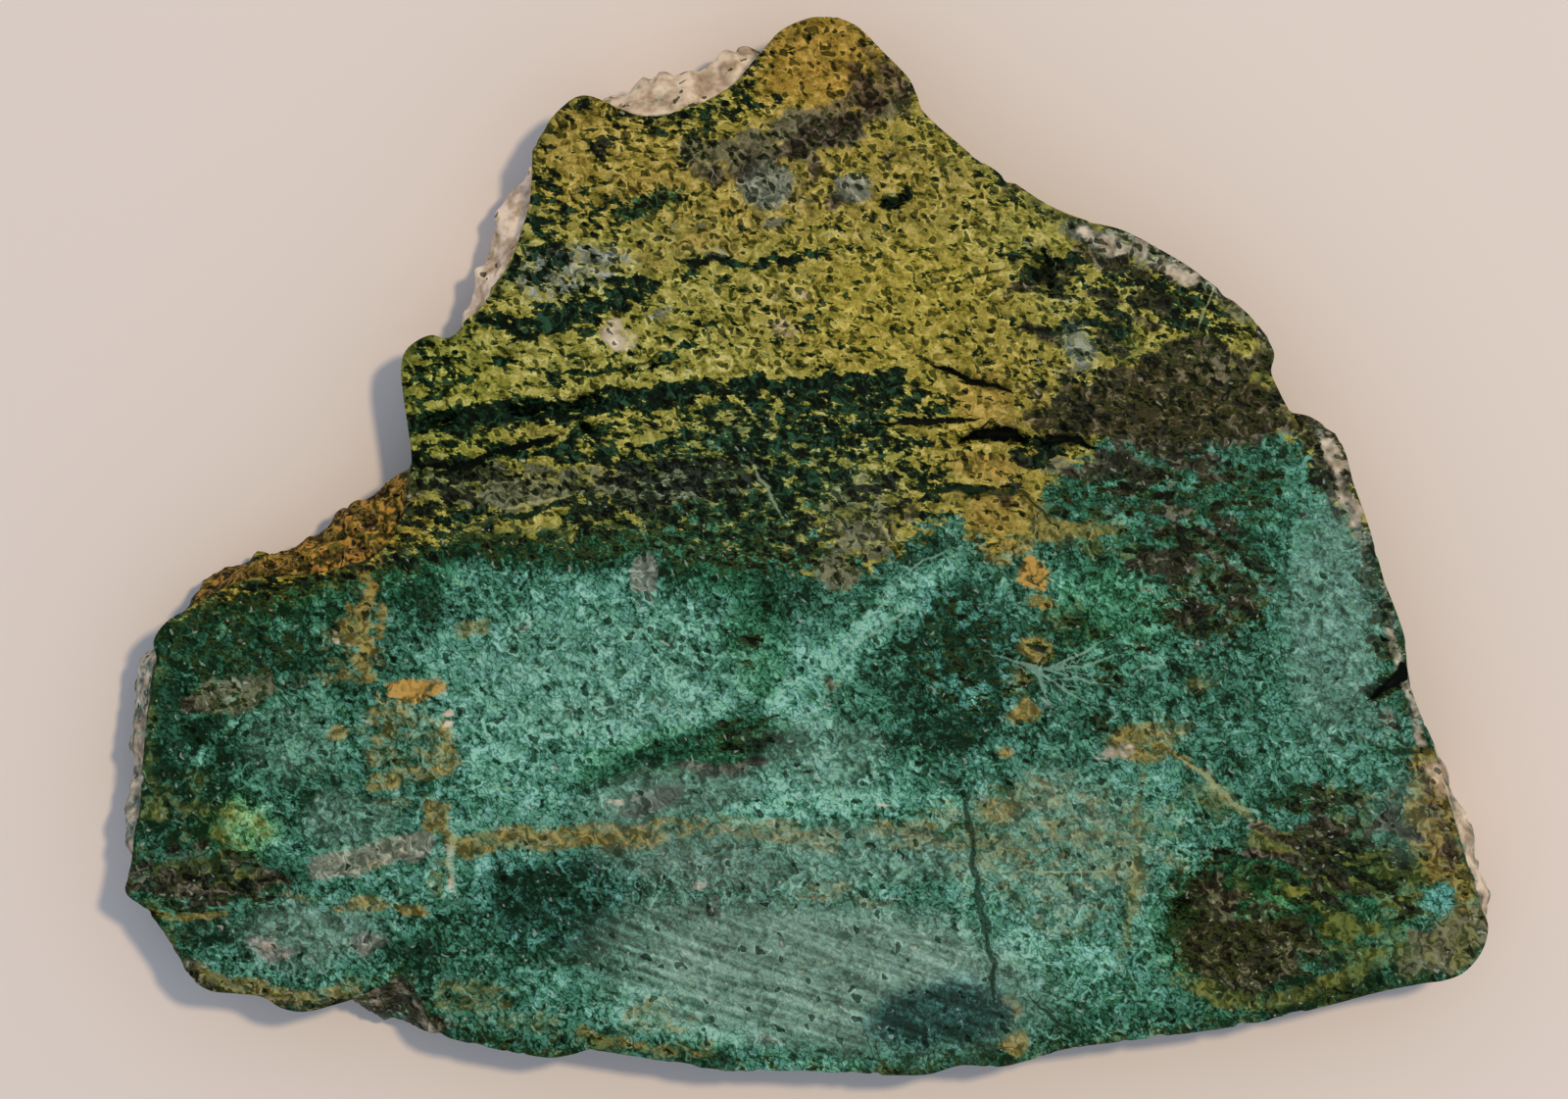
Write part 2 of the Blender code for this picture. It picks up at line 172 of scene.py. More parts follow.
def cloud(points, size, seed):
    """Value noise from -1 to 1: random corners of a lattice with cells `size` wide, blended by S-curves."""
    table = np.random.default_rng(seed).uniform(-1, 1, (LATTICE,) * 3)
    cell = np.floor(points / size).astype(int)
    x, y, z = (smoothstep(points / size - cell)).T
    i, j, k = (cell % LATTICE).T
    i1, j1, k1 = (i + 1) % LATTICE, (j + 1) % LATTICE, (k + 1) % LATTICE

    def level(storey):
        """The blend along x and y on one level of the lattice."""
        near = table[i, j, storey] * (1 - x) + table[i1, j, storey] * x
        far = table[i, j1, storey] * (1 - x) + table[i1, j1, storey] * x
        return near * (1 - y) + far * y

    return level(k) * (1 - z) + level(k1) * z


def rough(points, size, seed, octaves=3):
    """A sum of clouds, each half as wide and half as strong as the one before."""
    return sum(cloud(points, size / 2**n, seed + n) / 2**n for n in range(octaves))


def rough_pair(points, size, first, second):
    """Two rough fields with a seed each, side by side: a step in the plane for every point."""
    return np.stack([rough(points, size, first), rough(points, size, second)], -1)


print("lattice corners:", LATTICE**3)

# %% [markdown]
# ## The rim
#
# Round the slab the rock is broken, not sawn. The rim is a profile carried along the edge: at each
# depth below the face, the edge moves out along a crust's reach, in where the bare rock leans back,
# and in again in dished hollows that meet in sharp ridges. The hollows are the lowest of many
# upward paraboloids around seeded centres, which is how a conchoidal break looks.

# %% Rim sizes
EDGE_CHIP = 0.1  # mm worn off the upper edge
FOOT_CHIP = 0.3  # mm worn off the lower edge
UNDERCUT = 0.8  # mm by which the bare rock leans back down to the foot
FOOT_TAPER = 0.2  # share of the crusts' reach that is lost down to the foot
FADE_DEPTH = 0.1  # share of the thickness over which the rim's hollows set in
SMOOTH_REACH = 3.0  # mm of the edge to each side over which its direction is averaged
SCOOPS = {"seed": 11, "count": 130, "radius": 3.6, "relief": 0.5}
SCOOP_DEPTH = 1.3
LUMPS = {"seed": 5, "count": 420, "radius": 1.3, "relief": 0.35}
LUMP_HEIGHT = 0.55
GRIT = {"size": 1.6, "seed": 21}
GRIT_HEIGHT = 0.16
NICKS = {"size": 1.1, "seed": 33}
NICK_DEPTH = 0.16
NICK_START = 0.35  # the rim is nicked where the noise is above this
CRUST_FULL = 0.5  # mm of reach from which a crust hides the rock
RIM_DEPTHS = np.array([0, 0.012, 0.03, 0.06, 0.1, 0.15, 0.21, 0.28, 0.36, 0.45, 0.54, 0.63, 0.72, 0.8, 0.88,
                       0.95, 1.0])
print("rim rows:", len(RIM_DEPTHS))


# %% Parts of the rim's profile
def outward_directions(edge):
    """Unit normals of the edge after averaging it over SMOOTH_REACH to each side."""
    half = max(1, round(SMOOTH_REACH / EDGE_LENGTH * len(edge)))
    shifts = range(-half, half + 1)
    smooth = sum(np.roll(edge, k, 0) for k in shifts) / len(shifts)
    along = np.roll(smooth, -1, 0) - np.roll(smooth, 1, 0)
    normal = np.stack([-along[:, 1], along[:, 0]], 1)
    return normal / np.linalg.norm(normal, axis=1, keepdims=True)


def crust_reach(edge, line):
    """The step from each point of the edge out to a crust's line, nothing beyond the line's ends."""
    share = np.arange(len(edge)) / len(edge)
    line = np.array(line, float)
    first, last = (share[np.argmin(np.linalg.norm(edge - end, axis=1))] for end in (line[0], line[-1]))
    across = ((share - first) % 1) / ((last - first) % 1)
    inside = (across <= 1)[:, None]
    return np.where(inside, points_at(line, np.minimum(across, 1)) - edge, 0)


def dished(along, depth, seed, count, radius, relief):
    """The lowest of many upward paraboloids around seeded centres, on a strip that closes on itself."""
    rng = np.random.default_rng(seed)
    centres = rng.uniform((0, -1), (EDGE_LENGTH, THICKNESS + 1), (count, 2))
    floors = rng.uniform(0, relief, count)
    sideways = np.abs(along[:, None] - centres[:, 0])
    sideways = np.minimum(sideways, EDGE_LENGTH - sideways)
    squared = sideways**2 + (depth * THICKNESS - centres[:, 1]) ** 2
    return (floors + squared / (2 * radius)).min(1)


print("hollows and lumps round the rim:", SCOOPS["count"], LUMPS["count"])

# %% [markdown]
# ## The rim as a grid
#
# The profile is worked out ring by ring, from the sawn face down to the foot. The slab's face and
# back are later filled from one middle, so the first and the last ring may never turn back on
# themselves as seen from there, and `unfolded` sees to that.

# %% The rim's surface
LEAST_STEP = 0.05  # share of an even step by which each border point turns on at least


def rim_surface(points_round):
    """Rings of points, one for each of RIM_DEPTHS, and every crust's share on them."""
    share = np.arange(points_round) / points_round
    edge = points_at(edge_curve, share)
    out = outward_directions(edge)
    along = share * EDGE_LENGTH
    reaches = {name: (slope, crust_reach(edge, line)) for name, (slope, line) in CRUSTS.items()}
    lengths = {name: np.linalg.norm(reach, axis=1) for name, (slope, reach) in reaches.items()}
    crusted = smoothstep(np.maximum.reduce(list(lengths.values())))
    rings = []
    for depth in RIM_DEPTHS:
        step = sum(reach * smoothstep(depth / slope) for slope, reach in reaches.values())
        below_edge = smoothstep(depth / FADE_DEPTH)
        hollow = np.minimum(dished(along, depth, **SCOOPS) - SCOOP_DEPTH, 0)
        lump = np.maximum(LUMP_HEIGHT - dished(along, depth, **LUMPS), 0) * crusted
        place = np.column_stack([edge + step, np.full(points_round, -depth * THICKNESS)])
        grit = GRIT_HEIGHT * rough(place, **GRIT) * below_edge * (1 + crusted)
        nick = NICK_DEPTH * np.maximum(rough(place, **NICKS) - NICK_START, 0) / (1 - NICK_START)
        worn = EDGE_CHIP * (depth == 0) + FOOT_CHIP * (depth == 1)
        offset = (hollow + lump) * below_edge - UNDERCUT * depth**1.5 * (1 - crusted) - worn + grit - nick
        flat = edge + step * (1 - FOOT_TAPER * depth**2) + out * offset[:, None]
        rings.append(np.column_stack([flat, np.full(points_round, THICKNESS * (1 - depth))]))
    return np.array(rings), {name: smoothstep(length / CRUST_FULL) for name, length in lengths.items()}


def unfolded(border):
    """The border with its directions from the middle kept clockwise, each at its old distance from there."""
    arm = border - FACE_MIDDLE
    least_turns = np.arange(len(border)) * 2 * math.pi / len(border) * LEAST_STEP
    turn = np.minimum.accumulate(np.unwrap(np.arctan2(arm[:, 1], arm[:, 0])) + least_turns) - least_turns
    return FACE_MIDDLE + np.linalg.norm(arm, axis=1)[:, None] * np.stack([np.cos(turn), np.sin(turn)], -1)


rim, crust_shares = rim_surface(4 * FACE_CELLS)
for row in (0, -1):
    rim[row, :, :2] = unfolded(rim[row, :, :2])
print("rim grid:", rim.shape, "widest:", np.round(np.ptp(rim[..., 0]), 1), "mm")

# %% [markdown]
# ## One closed mesh
#
# The face is a square grid. Each square ring of the grid is the edge, shrunk towards one point
# from which all of the edge can be seen, so the outermost ring is the rim's first row and no seam
# is left. The back is the same with half as many cells, joined by a strip of triangles.


# %% Sheets and bands
def square_sheet(cells, border, height):
    """A grid whose point at ring r and share t of the way round is middle + r * (border(t) - middle)."""
    half = cells // 2
    i, j = np.meshgrid(np.arange(cells + 1) - half, np.arange(cells + 1) - half, indexing="ij")
    ring = np.maximum(np.abs(i), np.abs(j))
    safe = np.maximum(ring, 1)
    u, v = i / safe, j / safe
    side = np.select([(v >= 1) & (u < 1), (u >= 1) & (v > -1), (v <= -1) & (u > -1)], [0, 1, 2], 3)
    share = (side + np.select([side == 0, side == 1, side == 2], [u + 1, 1 - v, 1 - u], v + 1) / 2) / 4 % 1
    closed = np.vstack([border, border[:1]])
    steps = np.arange(len(closed)) / len(border)
    edge = np.stack([np.interp(share, steps, closed[:, k]) for k in (0, 1)], -1)
    flat = FACE_MIDDLE + (ring / half)[..., None] * (edge - FACE_MIDDLE)
    points = np.concatenate([flat, np.full(ring.shape + (1,), float(height))], -1)
    order = np.rint(share * 4 * cells).astype(int)[ring == half]
    around = np.empty(4 * cells, int)
    around[order] = np.arange((cells + 1) ** 2).reshape(ring.shape)[ring == half]
    return points.reshape(-1, 3), around


def sheet_faces(cells, first):
    """The grid's cells as four corner numbers each, counted from `first`, anticlockwise seen from above."""
    corner = first + np.arange((cells + 1) ** 2).reshape(cells + 1, cells + 1)
    return np.stack([corner[:-1, :-1], corner[1:, :-1], corner[1:, 1:], corner[:-1, 1:]], -1).reshape(-1, 4)


def band_faces(upper, lower):
    """Quads between two closed rows of equally many points, facing outwards on a clockwise edge."""
    return np.stack([upper, np.roll(upper, -1), np.roll(lower, -1), lower], -1)


face_points, face_border = square_sheet(FACE_CELLS, rim[0, :, :2], THICKNESS)
print("points of the face:", len(face_points))

# %% Face, rim and back as one mesh
BACK_INSET = 0.015  # share of the way to the middle by which the back's border lies inside the foot
back_outline = rim[-1, ::2, :2] * (1 - BACK_INSET) + FACE_MIDDLE * BACK_INSET
back_points, back_border = square_sheet(BACK_CELLS, back_outline, 0.0)
rim_first = len(face_points)
back_first = rim_first + (len(rim) - 1) * rim.shape[1]
points = np.vstack([face_points, rim[1:].reshape(-1, 3), back_points])
rows = [face_border] + [rim_first + n * rim.shape[1] + np.arange(rim.shape[1]) for n in range(len(rim) - 1)]
last, inner = rows[-1], back_first + back_border
quads = np.vstack([sheet_faces(FACE_CELLS, 0), *[band_faces(a, b) for a, b in zip(rows, rows[1:])],
                   sheet_faces(BACK_CELLS, back_first)[:, ::-1]])
wide = np.stack([last[0::2], last[1::2], inner], -1)
slanted = np.stack([last[1::2], np.roll(last[0::2], -1), np.roll(inner, -1), inner], -1)
is_face = np.arange(len(points)) < rim_first
is_back = np.arange(len(points)) >= back_first
print("points:", len(points), "quads:", len(quads), "joining strip:", len(wide) + len(slanted))

# %% [markdown]
# ## Cracks and pits in the face
#
# The sawn face is flat except where the rock was open. Each crack is a line of (x, y, half width)
# points and a depth, each pit an oval and a depth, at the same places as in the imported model.

# %% Open cracks and pits
CRACKS = {
    "upper_crack": ([(8.1, 11.7, 0.08), (9.4, 11.5, 0.2), (10.4, 10.8, 0.24), (11.9, 10.5, 0.2),
                     (13.4, 10.1, 0.08)], 1.2),
    "wide_crack": ([(10.0, 6.8, 0.08), (10.9, 7.2, 0.34), (12.3, 7.3, 0.4), (13.4, 7.2, 0.34),
                    (14.4, 6.9, 0.1)], 2.2),
    "thin_crack": ([(4.3, 7.8, 0.08), (6.5, 8.2, 0.2), (8.5, 8.0, 0.2), (11.0, 8.2, 0.08)], 1.0),
    "end_crack": ([(15.4, 6.5, 0.08), (16.5, 6.9, 0.3), (17.7, 6.8, 0.26), (19.0, 6.3, 0.08)], 1.4),
    "left_crack": ([(-25.8, 5.3, 0.08), (-24.3, 5.1, 0.15), (-22.6, 5.1, 0.2), (-20.9, 6.0, 0.14),
                    (-18.7, 6.4, 0.2), (-16.5, 7.0, 0.08)], 1.2),
    "flank_wedge": ([(37.2, -10.0, 0.1), (38.1, -9.2, 0.36), (39.3, -8.4, 0.5)], 1.2),
}
PITS = {  # x, y, half length, half width, turn, depth
    "lens_pit": (5.7, 22.6, 1.35, 0.42, 14, 0.9),
    "crystal_pit": (15.4, 18.2, 0.9, 1.7, 24, 1.1),
    "tunnel_west": (-18.5, 8.9, 1.5, 0.5, 3, 1.2),
    "tunnel_east": (-15.1, 9.4, 1.7, 0.5, 5, 1.1),
    "band_pit_1": (-24.1, 8.4, 1.1, 0.6, 0, 1.2),
    "band_pit_2": (-14.4, 7.8, 0.6, 0.4, -10, 0.9),
    "band_pit_3": (-10.3, 5.1, 0.75, 0.42, -20, 0.9),
    "knob_pit": (-25.3, 12.2, 0.75, 0.35, 5, 0.7),
    "row_pit_1": (-19.7, 12.5, 0.75, 0.36, 18, 0.7),
    "row_pit_2": (-12.1, 11.5, 0.7, 0.36, 10, 0.7),
    "row_pit_3": (-10.3, 12.0, 0.7, 0.36, 10, 0.7),
    "lower_lens_1": (-3.1, -13.2, 0.62, 0.42, -20, 0.8),
    "lower_lens_2": (-5.3, -13.3, 0.42, 0.3, 10, 0.6),
    "corner_pit_1": (24.1, -21.8, 0.45, 0.7, -15, 0.8),
    "corner_pit_2": (24.9, -23.8, 0.6, 0.9, -35, 0.9),
    "flank_pit_1": (37.2, -3.5, 0.55, 0.34, -30, 0.7),
    "flank_pit_2": (38.3, -6.4, 0.55, 0.4, -20, 0.8),
}
CRACK_BLUR = 0.16  # extra half width of the valley around a crack
VALLEY_SHARE = 0.35  # share of a crack's depth by which its valley sinks
BOWL_SHARE = 0.6  # share of a pit's depth by which its bowl sinks
LINE_REACH = 1.0  # distances to lines are kept up to this many mm
WIDTH_REACH = 0.7  # and the lines' half widths up to this many
print("cracks:", len(CRACKS), "pits:", len(PITS))

# %% [markdown]
# ## Distances to lines and ovals
#
# Cracks, veins and strokes are all laid along lines or in ovals. Two measures serve them all: the
# signed distance to a line, and a radius that is 1 on an oval's edge.


# %% Measures
def line_distance(places, line):
    """The signed distance to a line's nearest leg, positive on its left, and the share of the line there."""
    line = np.array(line, float)[:, :2]
    start, leg = line[:-1], np.diff(line, axis=0)
    size = np.linalg.norm(leg, axis=1)
    from_start = places[:, None, :] - start
    share = np.clip((from_start * leg).sum(-1) / size**2, 0, 1)
    gap = np.linalg.norm(from_start - share[..., None] * leg, axis=-1)
    near = gap.argmin(1)
    pick = np.arange(len(places)), near
    side = leg[near, 0] * from_start[pick][:, 1] - leg[near, 1] * from_start[pick][:, 0]
    along = distances_along(line)
    return np.where(side < 0, -1, 1) * gap[pick], (along[near] + share[pick] * size[near]) / along[-1]


def oval_radius(places, x, y, half_length, half_width, turn=0):
    """1 on a turned oval's edge, less inside: the length of the two coordinates over the half sizes."""
    c, s = math.cos(math.radians(turn)), math.sin(math.radians(turn))
    dx, dy = places[:, 0] - x, places[:, 1] - y
    return np.hypot((dx * c + dy * s) / half_length, (dy * c - dx * s) / half_width)


def nearest_line(places, lines):
    """The signed distance to the nearest of (half widths, points) lines, and that line's half width there."""
    distance, half = np.full(len(places), LINE_REACH), np.zeros(len(places))
    for halves, line in lines:
        gap, share = line_distance(places, line)
        wide = np.interp(share, np.linspace(0, 1, len(halves)), halves)
        nearer = np.abs(gap) < np.abs(distance)
        distance, half = np.where(nearer, gap, distance), np.where(nearer, wide, half)
    return distance, np.where(np.abs(distance) < WIDTH_REACH, half, 0)


print("reach of a line, mm:", LINE_REACH)

# %% [markdown]
# ## The openings
#
# The face's points are lowered by a rounded valley along each crack and by a bowl in each pit. The
# distance to the nearest crack is kept as well, so that the material can draw the opening far finer
# than the mesh's cells. A fine wobble of the places makes the edges ragged.

# %% Lower the face
FINE_WOBBLE = (1.1, 41, 47)  # cell size in mm, and a seed for each direction
CRACK_WOBBLE = 0.2
fine_wobble = rough_pair(points, *FINE_WOBBLE)
crack_places = points[:, :2] + CRACK_WOBBLE * fine_wobble
crack_gap, crack_half = nearest_line(crack_places,
                                     [([p[2] for p in line], line) for line, depth in CRACKS.values()])
sunk = np.zeros(len(points))
for line, depth in CRACKS.values():
    gap, share = line_distance(crack_places, line)
    half = np.interp(share, np.linspace(0, 1, len(line)), [p[2] for p in line]) + CRACK_BLUR
    sunk = np.maximum(sunk, VALLEY_SHARE * depth * np.exp(-((gap / half) ** 2)))
for *oval, depth in PITS.values():
    bowl = np.sqrt(np.clip(1 - oval_radius(crack_places, *oval) ** 2, 0, 1))
    sunk = np.maximum(sunk, BOWL_SHARE * depth * bowl)
sunk *= is_face
points[:, 2] -= sunk
print("lowered points:", int((sunk > 0.05).sum()), "deepest:", round(float(sunk.max()), 2), "mm")

# %% [markdown]
# ## Painting with strokes
#
# The stone's markings are patches of different minerals. Painting a bitmap would need an image, so
# each mineral gets a weight on every point instead, laid down as soft ovals and strips, and the
# material breaks the weights up into grains. The strokes are seen through a wobble of the
# coordinates, so no oval looks drawn. Below the face they drift, so they run on through the stone.

# %% Places as the strokes see them
COARSE_WOBBLE, DRIFT_WOBBLE = (3.2, 51, 57), (14, 61, 67)
COARSE_STEP, FINE_STEP = 0.55, 0.22  # mm by which the two wobbles move a place
DRIFT, DRIFT_STEP = np.array([2.2, -1.4]), 1.6  # mm by which the markings move from the face down to the foot
BACK_DRIFT, SIDE_DRIFT = 1.4, 0.5  # shares of that drift on the back and down the sides
INWARD = 0.03  # share of the way to the middle by which the foot reads the markings further in
BATCHES = 20  # parts in which the distances to the edge are worked out, to save memory
depth_share = 1 - np.clip(points[:, 2] + sunk, 0, THICKNESS) / THICKNESS
drift = depth_share[:, None] * (DRIFT + DRIFT_STEP * rough_pair(points, *DRIFT_WOBBLE))
places = points[:, :2] + COARSE_STEP * rough_pair(points, *COARSE_WOBBLE) + FINE_STEP * fine_wobble
inward = (FACE_MIDDLE - places) * INWARD * depth_share[:, None]
places += np.where(is_back[:, None], BACK_DRIFT, SIDE_DRIFT) * drift + inward


def edge_gap(flat):
    """The distance from each place to the nearest point of the sawn face's edge."""
    return np.linalg.norm(flat[:, None] - rim[0, None, ::2, :2], axis=2).min(1)


edge_gaps = np.concatenate([edge_gap(part) for part in np.array_split(points[:, :2], BATCHES)])
print("points to paint:", len(places))

# %% [markdown]
# ## The brushes
#
# `mustard` is the pitted rock, `dark` its black-green blotches, `emerald` the greener chrysocolla,
# `drab` a smooth grey-brown filling, `olive`, `ochre`, `orange` and `brown` are iron stains, `grey`
# and `cream` the soft pale rock. `light` is the teal's lightness, and `streak`, `haze` and `ripple`
# say how its grain looks.
#
# An oval or a strip raises a mineral's weight to the larger of what is there and the stroke's own
# strength, so the order of such strokes doesn't matter. Lightness and tint are moved towards a
# value instead, so there a later stroke lies over an earlier one. An oval is written as x, y, half
# length, half width and a turn in degrees, which is left out where it is 0.

# %% Brushes
MINERALS = ["mustard", "dark", "olive", "brown", "grey", "ochre", "orange", "emerald", "cream", "drab"]
paint = {name: np.zeros(len(points)) for name in MINERALS + ["light", "streak", "haze", "ripple"]}
tone = np.ones((len(points), 3))
OVAL_SOFT = 0.34  # half the width of a stroke's soft edge, as a share of its own half width


def oval_weight(*oval):
    """1 inside a turned oval and 0 outside, with an S-curve between."""
    return smoothstep((1 - oval_radius(places, *oval)) / (2 * OVAL_SOFT) + 0.5)


def strip_weight(half, line):
    """1 within about a half width of a line, fading at its edges and at its ends."""
    gap, share = line_distance(places, line)
    return smoothstep((1 - np.abs(gap) / half) / (2 * OVAL_SOFT) + 0.5)


def ovals(name, rows):
    """Raises a mineral's weight to `strength` in ovals, given as (*oval, strength)."""
    for *oval, strength in rows:
        paint[name] = np.maximum(paint[name], strength * oval_weight(*oval))


def strips(name, rows):
    """Raises a mineral's weight to `strength` along lines given as (half width, strength, points)."""
    for half, strength, line in rows:
        paint[name] = np.maximum(paint[name], strength * strip_weight(half, line))


def lighten(weight, value):
    """Moves the teal's lightness towards a value by a weight."""
    paint["light"] = paint["light"] * (1 - weight) + value * weight


def shades(rows):
    """Moves the lightness of the teal to a value in ovals: (*oval, value)."""
    for *oval, value in rows:
        lighten(oval_weight(*oval), value)


def shade_strips(rows):
    """Moves the lightness of the teal to a value along lines: (half width, value, points)."""
    for half, value, line in rows:
        lighten(strip_weight(half, line), value)


def tints(rows):
    """Moves the tint to a colour in ovals: (*oval, (red, green, blue))."""
    global tone
    for *oval, hue in rows:
        weight = oval_weight(*oval)[:, None]
        tone = tone * (1 - weight) + np.array(hue) * weight


def erase(names, rows):
    """Lowers minerals' weights by a share in ovals: (*oval, share)."""
    for *oval, share in rows:
        kept = 1 - share * oval_weight(*oval)
        for name in names:
            paint[name] *= kept


print("minerals:", len(MINERALS))

# %% Scattered dashes
DASH_FAN = 14  # degrees by which the dashes turn to each side
SHORTEST = 0.4  # share of the full length that the shortest dash may have


def scattered(seed, count, x, y, half_length, half_width, dash, turn):
    """Short lines at random places in an oval, up to `dash` long and within DASH_FAN degrees of `turn`."""
    rng = np.random.default_rng(seed)
    out, angle = np.sqrt(rng.uniform(0, 1, count)), rng.uniform(0, 2 * math.pi, count)
    middles = np.stack([x + half_length * out * np.cos(angle), y + half_width * out * np.sin(angle)], -1)
    turns = np.radians(turn + rng.uniform(-DASH_FAN, DASH_FAN, count))
    headings = np.stack([np.cos(turns), np.sin(turns)], -1)
    halves = dash / 2 * rng.uniform(SHORTEST, 1, count)[:, None] * headings
    return np.stack([middles - halves, middles + halves], 1)


def dashes(name, rows):
    """Scatters thin strips: (half width, strength, and then what `scattered` takes)."""
    for half, strength, *area in rows:
        strips(name, [(half, strength, line) for line in scattered(*area)])


def shade_dashes(rows):
    """Scatters thin strips of lightness: (half width, value, and then what `scattered` takes)."""
    for half, value, *area in rows:
        shade_strips([(half, value, line) for line in scattered(*area)])


def show_shares(*names):
    """Prints the share of the sawn face on which each weight is above a half."""
    shares = {name: float((paint[name][is_face] > 0.5).mean()) for name in names}
    print("share of the face:", {name: round(share, 2) for name, share in shares.items()})


print("fan of the dashes, degrees:", 2 * DASH_FAN)

# %% [markdown]
# ## The two zones
#
# A wavy line divides the slab. Above it the rock is a mustard, pitted mixture with black-green
# blotches. Below it lies the teal chrysocolla. The line is a function y(x) through a few points,
# and every mineral starts from one weight below it and another above. The outermost millimetre of
# the face is a little darker, which is painted shade along the edge, and more olive in colour.

# %% Zone boundary
BOUNDARY = [(-50, -5), (-41, -4.2), (-37, -2.9), (-33, -2.3), (-30, -1.6), (-27.5, -0.4), (-24, 0.3),
            (-19, 0.5), (-15, 0.9), (-12, 0.9), (-9, 0.5), (-5, 0.1), (-2, -0.8), (1.5, -1.8), (4, -1.2),
            (5.5, 0.2), (7.5, 1.6), (9.3, 2.2), (10.3, 1.4), (11.5, 0.3), (13, -0.2), (14.4, 0.3), (15.2, 2),
            (15.6, 4.2), (17.5, 5.2), (20, 7.2), (24, 7.6), (28, 7.8), (30, 8), (31.5, 7.3), (33, 5.8),
            (34.3, 4), (35.2, 2.5), (37, 0.5), (50, -2)]
BOUNDARY_SOFT = 3.0  # mm over which one zone turns into the other
ZONE_WEIGHTS = {"mustard": (0, 1.25), "dark": (0, 0.18), "olive": (0, 0.34), "light": (0.45, 0.33),
                "emerald": (0.4, 0.3), "ochre": (0.05, 0), "brown": (0.07, 0), "grey": (0.18, 0)}
# Painted shade along the face's edge: less teal lightness and more dark mineral, with a more olive colour.
EDGE_SHADE_AND_OLIVE = {"light": -0.22, "olive": 0.4, "dark": 0.25}
EDGE_SHADE_WIDTH = 0.9
boundary_x, boundary_y = np.array(BOUNDARY, float).T
above = places[:, 1] - np.interp(places[:, 0], boundary_x, boundary_y)
upper = smoothstep(above / BOUNDARY_SOFT + 0.5)
edge_shade_fade = np.exp(-((edge_gaps / EDGE_SHADE_WIDTH) ** 2))
for name, (below_line, above_line) in ZONE_WEIGHTS.items():
    paint[name] = below_line + (above_line - below_line) * upper
for name, extra in EDGE_SHADE_AND_OLIVE.items():
    paint[name] += extra * edge_shade_fade
print("share above the boundary:", round(float(upper[is_face].mean()), 2))

# %% [markdown]
# ## The upper zone's dark bands
#
# Black-green bands run across the zone, nearly level on the left and swelling to the right, with
# thin dark streaks and lenses above them. They are strips along lines, ovals and scattered dashes.
# Clear spots between the bands are rubbed out again, and the mustard is thinned where bands cross.

# %% Upper zone, dark bands
strips("dark", [
    (0.8, 1.25, [(-26, 7.6), (-24, 8.4), (-22, 8.3), (-19.5, 8.8), (-17, 9), (-14, 9.2), (-11, 9.6),
                 (-8.5, 10.2), (-7, 10.6), (-4, 10.4), (0, 10.5), (3, 10.7), (5.5, 10.7)]),
    (0.5, 0.95, [(-25.5, 5.4), (-23.5, 5.2), (-21.5, 5.5), (-19.5, 6.3), (-17, 6.5), (-15, 6), (-13.5, 5.6),
                 (-11, 5.2), (-9, 5.5)]),
    (0.35, 0.9, [(-24, 0.9), (-21, 1.4), (-18, 2.2), (-16, 3), (-14, 3.2), (-11, 2.4), (-9, 1.6)]),
    (0.8, 1.2, [(-21, 14.6), (-20, 14.4), (-18, 14.6), (-16.5, 15), (-14.5, 15.4), (-13, 15.8), (-12, 16.3),
                (-10.8, 16.9)]),
    (0.4, 0.9, [(-16.5, 14.2), (-14.5, 14), (-13.8, 14.4)]), (0.5, 0.9, [(-18.5, 18.6), (-16.5, 19.8)]),
    (0.36, 1, [(-8, 17.3), (-7, 18.2), (-4.5, 18.5), (-3, 18.9), (-1, 18.6), (0, 19)]),
    (0.3, 0.85, [(-16.5, 10.8), (-14, 11.2), (-12, 11.6), (-10.5, 12), (-9, 12.5), (-8, 13)]),
    (0.3, 1, [(-26, 11.9), (-24.3, 12.2)]), (0.3, 0.85, [(-24.5, 10.5), (-22, 11)]),
    (0.3, 0.8, [(-26.3, 9.8), (-24.5, 10.3)]), (0.35, 0.8, [(-21, 12.3), (-19.5, 12.6)]),
    (0.8, 0.62, [(-12, 28.4), (-10.5, 27.5), (-9, 27.3), (-7, 28), (-5.6, 28.6), (-4, 30.4), (-3, 32)]),
])
dashes("dark", [(0.3, 1, 71, 22, -3, 5, 10, 4, 2.4, 4), (0.28, 1, 72, 14, -15, 4, 9, 3, 2.6, 8)])
